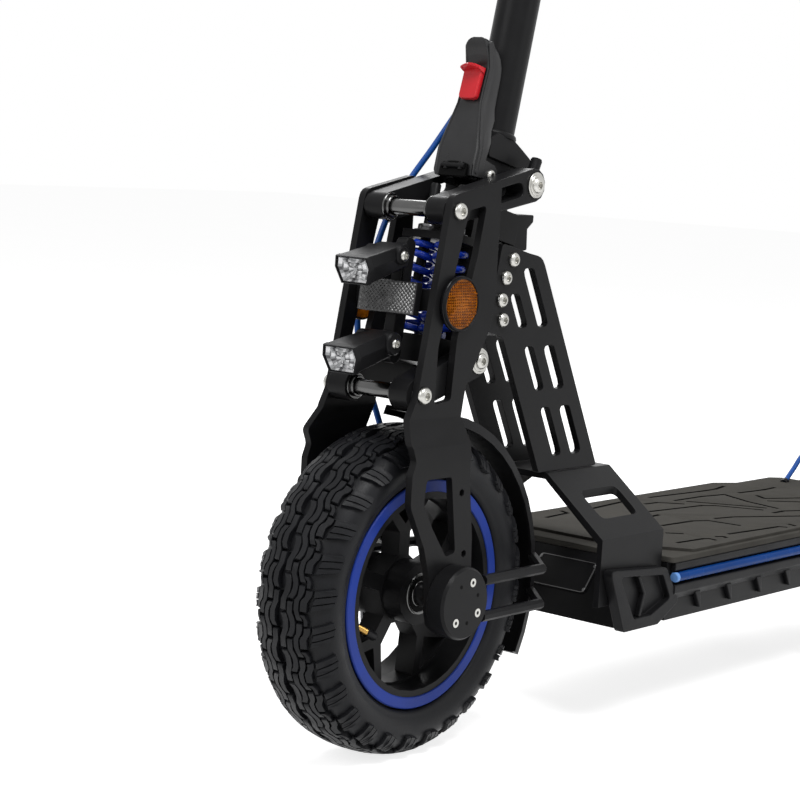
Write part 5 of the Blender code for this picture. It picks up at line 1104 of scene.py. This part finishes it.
# Height, rear, face and half width of the shell's sections
LATCH_SECTIONS = mm([
    (315.5, 28.4, 37.1, 21), (325, 28.4, 38.1, 21.2), (336, 26.2, 38, 21.2), (345, 22.6, 37.8, 19.1),
    (354, 22.2, 37.2, 16.9), (363, 18, 36.6, 14.7), (372, 17.8, 36, 12.5), (382, 17.8, 35.3, 12.2),
    (392, 17.8, 34.6, 12.2), (398, 18, 34.3, 12.2), (404, 19, 35.2, 12.2), (410, 22, 37.8, 12),
    (414, 25.5, 39.8, 11.6), (417.5, 29.5, 40.8, 10.6), (420, 33.2, 40.9, 9), (421.7, 35.5, 40.5, 6.8),
    (422.6, 36.6, 40, 4.2),
])
# Shares of the half width and of the depth, round a section
LATCH_RING = [
    (-1.00, 0.4), (-1.00, 0.64), (-0.97, 0.7), (-0.9, 0.98), (-0.86, 1.00), (-0.82, 0.98), (-0.78, 0.93),
    (-0.5, 0.915), (0.0, 0.91), (0.5, 0.915), (0.78, 0.93), (0.82, 0.98), (0.86, 1.00), (0.9, 0.98),
    (0.97, 0.7), (1.00, 0.64), (1.00, 0.4), (1.00, 0.12), (0.96, 0.02), (0.88, 0.0), (0.5, 0.0), (0.0, 0.0),
    (-0.5, 0.0), (-0.88, 0.0), (-0.96, 0.02), (-1.00, 0.12),
]
SHELL_LIFT = 0.0008
RECESS_DEPTH = 0.003
RECESS_HALF = 0.013
RECESS_FOOT = -0.56
RECESS_TOP = -0.4
RECESS_RISE = 0.05
RECESS_STEPS = 12
LATCH_PIVOT = mm((18.5, 20.4, 320))
# Eye bolt: its cheeks by share, share of their y and lift, and its bar
EYE_CHEEK = ((-0.47, 1, 0.0004), (-0.41, 1, 0.0006), (-0.37, 0.9, 0.0002))
EYE_CHEEK_Y = 0.007
EYE_CHEEK_RADIUS = 0.0022
EYE_BAR = (-0.42, 0.011, 0.0006)
EYE_BAR_RADIUS = 0.0024
BUTTON_MIDDLE = 0.76
BUTTON_SPAN = (0.0004, 0.0054)
BUTTON = mm([(8.6, 12.7, 1), (-8.6, 12.7, 1), (-8.2, -12.6, 3.5), (8.2, -12.6, 3.5)])
LIP_STEPS = 12
LIP_HALF = 0.0093
LIP_ARCH = 0.0016
LIP_REACH = 0.0118
LIP_PULL = 0.0022
# Lift and height of the lip's outline; the edge's lifts are counted from its reach
LIP_FOOT = [(0.002, 0.0085), (0.006, 0.009)]
LIP_EDGE = [(0, 0.0101), (0.0004, 0.0112), (-0.0006, 0.0122)]
LIP_BACK = [(0.006, 0.0124), (0.002, 0.0126)]


def latch_point(share, y, lift):
    """Point over the latch's front face, by its share of the face's height."""
    start = Vector((LATCH_FACE[0][0], 0, LATCH_FACE[0][1]))
    end = Vector((LATCH_FACE[1][0], 0, LATCH_FACE[1][1]))
    run = end - start
    out = Vector((run.z, 0, -run.x)).normalized()
    return STEER @ (start + run * share + out * lift + Vector((0, y, 0)))


def make_latch():
    rings = []
    for height, rear, face, half in LATCH_SECTIONS:
        deep = face + SHELL_LIFT - rear
        rings.append([(rear + deep * depth, half * share, height) for share, depth in LATCH_RING])
    put(made(add_loft, rings, False, STEER), "latch_shell", SATIN, "latch_lever", sharp=24)

    arch = [(RECESS_HALF, RECESS_FOOT)]
    for step in range(RECESS_STEPS + 1):
        angle = pi * step / RECESS_STEPS
        arch.append((RECESS_HALF * cos(angle), RECESS_TOP + RECESS_RISE * sin(angle)))
    arch.append((-RECESS_HALF, RECESS_FOOT))
    recess = [[latch_point(share, y, lift) for y, share in arch] for lift in (-RECESS_DEPTH, SHELL_LIFT)]
    # Near-black sheet flush with the face: painted shade of the recess round the eye bolt
    put(made(add_loft, recess), "latch_recess_shade", SHADE_AND_SEAL_BLACK, "latch_lever")
    bm = bmesh.new()
    for sign in SIGNS:
        add_tube(bm, [latch_point(share, sign * EYE_CHEEK_Y * part, lift) for share, part, lift in EYE_CHEEK],
                 EYE_CHEEK_RADIUS, 10)
    share, y, lift = EYE_BAR
    add_tube(bm, [latch_point(share, sign * y, lift) for sign in SIGNS], EYE_BAR_RADIUS, 10)
    put(bm, "latch_eye_bolt", BLACK, "latch_lever")
    bm = bmesh.new()
    for side in BOTH:
        add_bolt(bm, out_of(STEER, *LATCH_PIVOT, side), "latch")
    put(bm, "latch_pivot_screws", STAINLESS, "latch_lever")


def make_button():
    length = dist(*LATCH_FACE)
    outline = rounded(BUTTON)
    rings = [[latch_point(BUTTON_MIDDLE + height / length, y, lift) for y, height in outline]
             for lift in BUTTON_SPAN]
    button = made(add_loft, rings)
    put(button, "release_button", RED, "latch_button", "latch_button", bevel=0.0013, segments=3)
    rings = []
    for step in range(LIP_STEPS + 1):
        share = step / (LIP_STEPS / 2) - 1
        y = LIP_HALF * share
        arch = LIP_ARCH * (1 - share * share)
        reach = LIP_REACH - LIP_PULL * share * share
        edge = [(reach + lift, height) for lift, height in LIP_EDGE]
        rings.append([latch_point(BUTTON_MIDDLE + (height + arch) / length, y, lift)
                      for lift, height in LIP_FOOT + edge + LIP_BACK])
    put(made(add_loft, rings), "release_button_lip", RED, "latch_button", sharp=50)


# Deck

MAT_TOP = 0.0118
MAT_THICKNESS = 0.0024
MAT_CORNER = 0.004
MAT_EDGE = 0.0003
MAT_HALF = mm([
    (-244, 60), (-260, 64.5), (-278, 93.5), (-610, 93.5), (-633.5, 79.5), (-698, 79.5), (-710, 70),
])
GROOVE_TOP = 0.0026
GROOVE_HALF = 0.0021
GROOVE_LEAD = 0.001
GROOVE_DEPTH = 0.0021
# Grooves in millimetres: along the deck from the front axle, and across it
MAT_LINES = mm([
    [(-470, -78), (-550, -70), (-575, -69), (-599, -74)],
    [(-477, -54), (-523, -52), (-554, -46), (-538, -10), (-529, 28)],
    [(-434, -59), (-452, -57), (-468, -38)], [(-402, -33), (-477, -23), (-488, -16), (-508, 24)],
    [(-484, -44), (-509, -3), (-521, 20)], [(-576, -43), (-615, -39), (-641, -40)],
    [(-579, -24), (-570, -10), (-608, 10)], [(-560, 0), (-586, 23)], [(-425, 23), (-447, 28), (-513, 64)],
    [(-503, 39), (-521, 39), (-541, 48)], [(-350, 15), (-395, 18), (-410, 25), (-414, 56)],
    [(-322, 38), (-332, 48)], [(-291, 69), (-327, 72), (-332, 75), (-331, 82)],
    [(-346, 73), (-352, 77), (-350, 81)], [(-367, 73), (-417, 78), (-441, 80), (-445, 86)],
    [(-461, 79), (-459, 87)], [(-291, -69), (-327, -72), (-331, -82)],
    [(-367, -73), (-417, -78), (-441, -80)], [(-350, -15), (-395, -18)], [(-536, 78), (-575, 69), (-599, 74)],
    [(-570, 43), (-615, 39), (-641, 40)], [(-650, -10), (-690, -12)], [(-640, 12), (-690, 20)],
])
# Ribs along the deck's sides, as (y, z), and the slanted ribs below them
SIDE_RAILS = mm((
    [(92.6, -10.5), (98.2, -11.8), (98.5, -13.2), (98.5, -18.5), (94.2, -24.5), (92.6, -25)],
    [(92.6, -0.8), (97, -0.4), (97.9, 1), (97.9, 6.6), (92.6, 6.6)],
))
RAIL_ENDS = mm((-245, -605))
SLANT = mm(((4.5, -21.5), (-4, -21.5), (-6.2, -36.5), (-4.2, -36.5)))
SLANTS = 7
SLANT_START = -0.2844
SLANT_PITCH = 0.05
SLANT_SPAN = mm((92.6, 96.8))
CAP_RIB = mm([(-192.5, 1.5), (-196, 1.2), (-205.5, -13.4), (-200, -32.2), (-196.5, -32.2), (-202, -13.4)])
CAP_RIB_SPAN = mm((91.4, 96.2))
LIGHT_END = mm([(3, 0), (4.2, 0.8), (4.2, 3.4), (3.6, 4.2)])
LIGHT_END_PLACE = mm((-249.3, 96.8, -5.5))
# Rating plate on the deck's sloped front, from the slope's top to its foot
SLOPE_TOP = Vector((-0.222, 0, 0.0065))
SLOPE_FOOT = Vector((-0.182, 0, -0.042))
PLATE_SHAPE = (-0.015, 0.015, 0.03, 0.004)
PLATE_SPAN = (0.0003, 0.0012)
PLATE_SHARE = 0.38
PLATE_Y = 0.0118
PLATE_FRAME = ((0.93, 0.0011), (0.93, 0.0015), (0.97, 0.0015), (0.97, 0.0011))
RIVET_X = 0.0115
RIVET_Y = 0.0275
PLATE_RIVET = mm([(1.4, 1), (1.4, 1.6), (0.8, 2.1)])


def groove_mesh():
    bm = bmesh.new()
    deep = Vector((0, 0, -GROOVE_DEPTH))
    for line in MAT_LINES:
        points = [Vector((x, y, MAT_TOP + GROOVE_TOP)) for x, y in line]
        for start, end in zip(points, points[1:]):
            run = (end - start).normalized()
            across = Vector((-run.y, run.x, 0)) * GROOVE_HALF
            base = [start - run * GROOVE_LEAD - across, end + run * GROOVE_LEAD - across,
                    end + run * GROOVE_LEAD + across, start - run * GROOVE_LEAD + across]
            add_loft(bm, [[point + deep for point in base], base], False, FRONT)
    return bm


def make_mat():
    """Rubber mat with grooves cut along the mat's lines, their walls and floor painted near-black as shade.
    """
    corners = MAT_HALF + [(x, -y) for x, y in reversed(MAT_HALF)]
    outline = rounded([(x, y, MAT_CORNER) for x, y in corners])
    mat = put(made(add_plate, outline, MAT_TOP, MAT_TOP + MAT_THICKNESS, FRONT), "deck_mat", MAT, None)
    # The cutter's near-black look passes to the grooves' walls and floor: painted shade in the grooves
    tool = mesh_object(groove_mesh(), "mat_grooves", SHADE_AND_SEAL_BLACK)
    carve = mat.modifiers.new("grooves", "BOOLEAN")
    carve.operation = "DIFFERENCE"
    carve.solver = "EXACT"
    carve.use_self = True
    carve.material_mode = "TRANSFER"
    carve.object = tool
    bpy.context.view_layer.update()
    carved = bpy.data.meshes.new_from_object(mat.evaluated_get(bpy.context.evaluated_depsgraph_get()))
    mat.modifiers.clear()
    mat.data = carved
    bpy.data.objects.remove(tool)
    edge = mat.modifiers.new("edges", "BEVEL")
    edge.width = MAT_EDGE
    edge.segments = 2
    edge.limit_method = "ANGLE"
    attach(mat, "chassis")


def make_deck_sides():
    bm = bmesh.new()
    for side in BOTH:
        for profile in SIDE_RAILS:
            add_loft(bm, [[(x, side * y, z) for y, z in profile] for x in RAIL_ENDS], False, FRONT)
        low, high = sorted(side * y for y in SLANT_SPAN)
        for index in range(SLANTS):
            x = SLANT_START - SLANT_PITCH * index
            add_slab(bm, [(x + step, z) for step, z in SLANT], low, high, FRONT)
    put(bm, "deck_side_ribs", PLASTIC, "chassis", bevel=0.0007)
    ribs = bmesh.new()
    ends = bmesh.new()
    for side in BOTH:
        low, high = sorted(side * y for y in CAP_RIB_SPAN)
        add_slab(ribs, CAP_RIB, low, high, FRONT)
        x, y, z = LIGHT_END_PLACE
        add_lathe(ends, LIGHT_END, FRONT @ shift(x, side * y, z) @ spin(QUARTER, "Y"), 20)
    put(ribs, "corner_cap_ribs", PLASTIC, "chassis", bevel=0.0007)
    put(ends, "light_tube_ends", TUBE_END, "chassis")


def make_rating_plate():
    run = (SLOPE_FOOT - SLOPE_TOP).normalized()
    out = Vector((-run.z, 0, run.x))
    turn = Matrix(((-run.x, 0, out.x), (0, 1, 0), (-run.z, 0, out.z))).to_4x4()
    middle = SLOPE_TOP.lerp(SLOPE_FOOT, PLATE_SHARE) + Vector((0, PLATE_Y, 0))
    spot = Matrix.Translation(FRONT @ middle) @ turn
    outline = rectangle(*PLATE_SHAPE)
    put(made(add_plate, outline, *PLATE_SPAN, spot), "bare_rating_plate", PLATE, "chassis", bevel=0.0003)
    rings = [[(x * scale, y * scale, rise) for x, y in outline] for scale, rise in PLATE_FRAME]
    bm = made(add_loft, rings, True, spot)
    for first in SIGNS:
        for second in SIGNS:
            add_lathe(bm, PLATE_RIVET, spot @ shift(first * RIVET_X, second * RIVET_Y, 0), 14)
    put(bm, "rating_plate_frame", PLATE_EDGE, "chassis")


# Handlebar and small fittings

GRIP_COLLAR = mm([(12.7, 188.2), (18, 188.2), (18.6, 189.2), (18.6, 192.5), (17.2, 194.5)])
GRIP_RIB = mm(((15.8, 0), (16.5, 0.8), (16.5, 2.6), (15.8, 3.4)))
GRIP_RIBS_START = 0.1965
GRIP_RIBS_END = 0.284
GRIP_RIB_PITCH = 0.0042
GRIP_END = mm([(16, 288), (17.6, 290.5), (17.8, 298), (16.6, 299.8), (12.7, 299.8)])
BAR_END = mm([(10.5, 299), (10.5, 300), (7, 300)])
DISPLAY_BOLT = mm((17, 19, -21.7))
CLAMP_BOLT = mm((24, 18.5, 14.5))
LEVER_BOLT = mm((38, 161, 14.7))
DISPLAY_TOP = BAR_HEIGHT + 0.02 + GAP + 0.02
SCREEN_SHAPE = (-0.016, 0.0215, 0.038, 0.006)
SCREEN_SPAN = (-0.0004, 0.0006)
KEY = mm(((4.8, -0.4), (4.8, 0.8), (4, 1.4)))
KEY_X = -0.0212
KEY_PITCH = 0.02
FOOTREST_FOOT = Vector((0.209, 0.0135))
FOOTREST_TOP = Vector((0.14, 0.0925))
FOOTREST_RIBS = 6
FOOTREST_START = 0.006
FOOTREST_PITCH = 0.016
# Corners of a footrest rib: along the slope, and out of it
FOOTREST_RIB = mm(((0, -0.2), (8.5, -0.2), (8, 1.8), (0.5, 1.8)))
FOOTREST_HALF = 0.034
CALIPER_BOLT_OUT = 0.06
CALIPER_BOLT_HALF = 0.01


def make_handlebar():
    for name, side in SIDES:
        place = out_of(STEER, 0, 0, BAR_HEIGHT, side)
        profile = list(GRIP_COLLAR)
        start = GRIP_RIBS_START
        while start < GRIP_RIBS_END:
            profile += [(radius, start + height) for radius, height in GRIP_RIB]
            start += GRIP_RIB_PITCH
        profile += GRIP_END
        put(made(add_lathe, profile, place, 48, True), "ribbed_grip_" + name, GRIP, "stem", "grip_" + name)
        put(made(add_lathe, BAR_END, place, 32), "bar_end_" + name, BLACK, "stem")
    bm = bmesh.new()
    for first in SIGNS:
        for second in SIGNS:
            x, y, z = DISPLAY_BOLT
            add_bolt(bm, STEER @ shift(first * x, second * y, BAR_HEIGHT + z) @ spin(pi, "X"), "display")
    for first in SIGNS:
        for second in SIGNS:
            x, y, z = CLAMP_BOLT
            add_bolt(bm, STEER @ shift(x, first * y, BAR_HEIGHT + second * z) @ spin(QUARTER, "Y"), "clamp")
    for side in BOTH:
        for sign in SIGNS:
            x, y, z = LEVER_BOLT
            spot = STEER @ shift(x, side * y, BAR_HEIGHT + sign * z)
            add_bolt(bm, spot @ spin(0 if sign > 0 else pi, "X"), "lever")
    put(bm, "handlebar_bolts", STAINLESS, "stem")
    span = [DISPLAY_TOP + rise for rise in SCREEN_SPAN]
    screen = made(add_plate, rectangle(*SCREEN_SHAPE), *span, STEER)
    put(screen, "display_screen", SCREEN, "stem", bevel=0.0003)
    bm = bmesh.new()
    profile = [(radius, DISPLAY_TOP + height) for radius, height in KEY]
    for step in (-1, 0, 1):
        add_lathe(bm, profile, STEER @ shift(KEY_X, step * KEY_PITCH, 0), 28)
    put(bm, "display_keys", GRIP, "stem")


def make_fittings():
    bm = bmesh.new()
    run = (FOOTREST_TOP - FOOTREST_FOOT).normalized()
    out = Vector((run.y, -run.x))
    for index in range(FOOTREST_RIBS):
        low = FOOTREST_FOOT + run * (FOOTREST_START + FOOTREST_PITCH * index)
        corners = [tuple(low + run * along + out * rise) for along, rise in FOOTREST_RIB]
        add_slab(bm, corners, -FOOTREST_HALF, FOOTREST_HALF, REAR)
    put(bm, "footrest_ribs", MAT, "chassis", bevel=0.0004)

    bm = bmesh.new()
    along = Vector((-sin(CALIPER_ANGLE), 0, cos(CALIPER_ANGLE)))
    out = Vector((cos(CALIPER_ANGLE), 0, sin(CALIPER_ANGLE)))
    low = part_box("front_caliper")[0]
    for sign in SIGNS:
        spot = along * sign * CALIPER_BOLT_HALF + out * CALIPER_BOLT_OUT
        add_bolt(bm, out_of(FRONT, spot.x, -(low.y + BOLT_GAP), spot.z, -1), "caliper")
    put(bm, "caliper_bolts", STAINLESS, "fork")


dress_solids()
make_camera()
make_light()
make_floor()
make_front_cable()
make_rear_cable()
make_springs()
make_tyres()
make_wheel_trim()
make_shafts()
make_brackets()
make_headlights()
make_front_reflector()
make_side_reflectors()
make_latch()
make_button()
make_mat()
make_deck_sides()
make_rating_plate()
make_handlebar()
make_fittings()
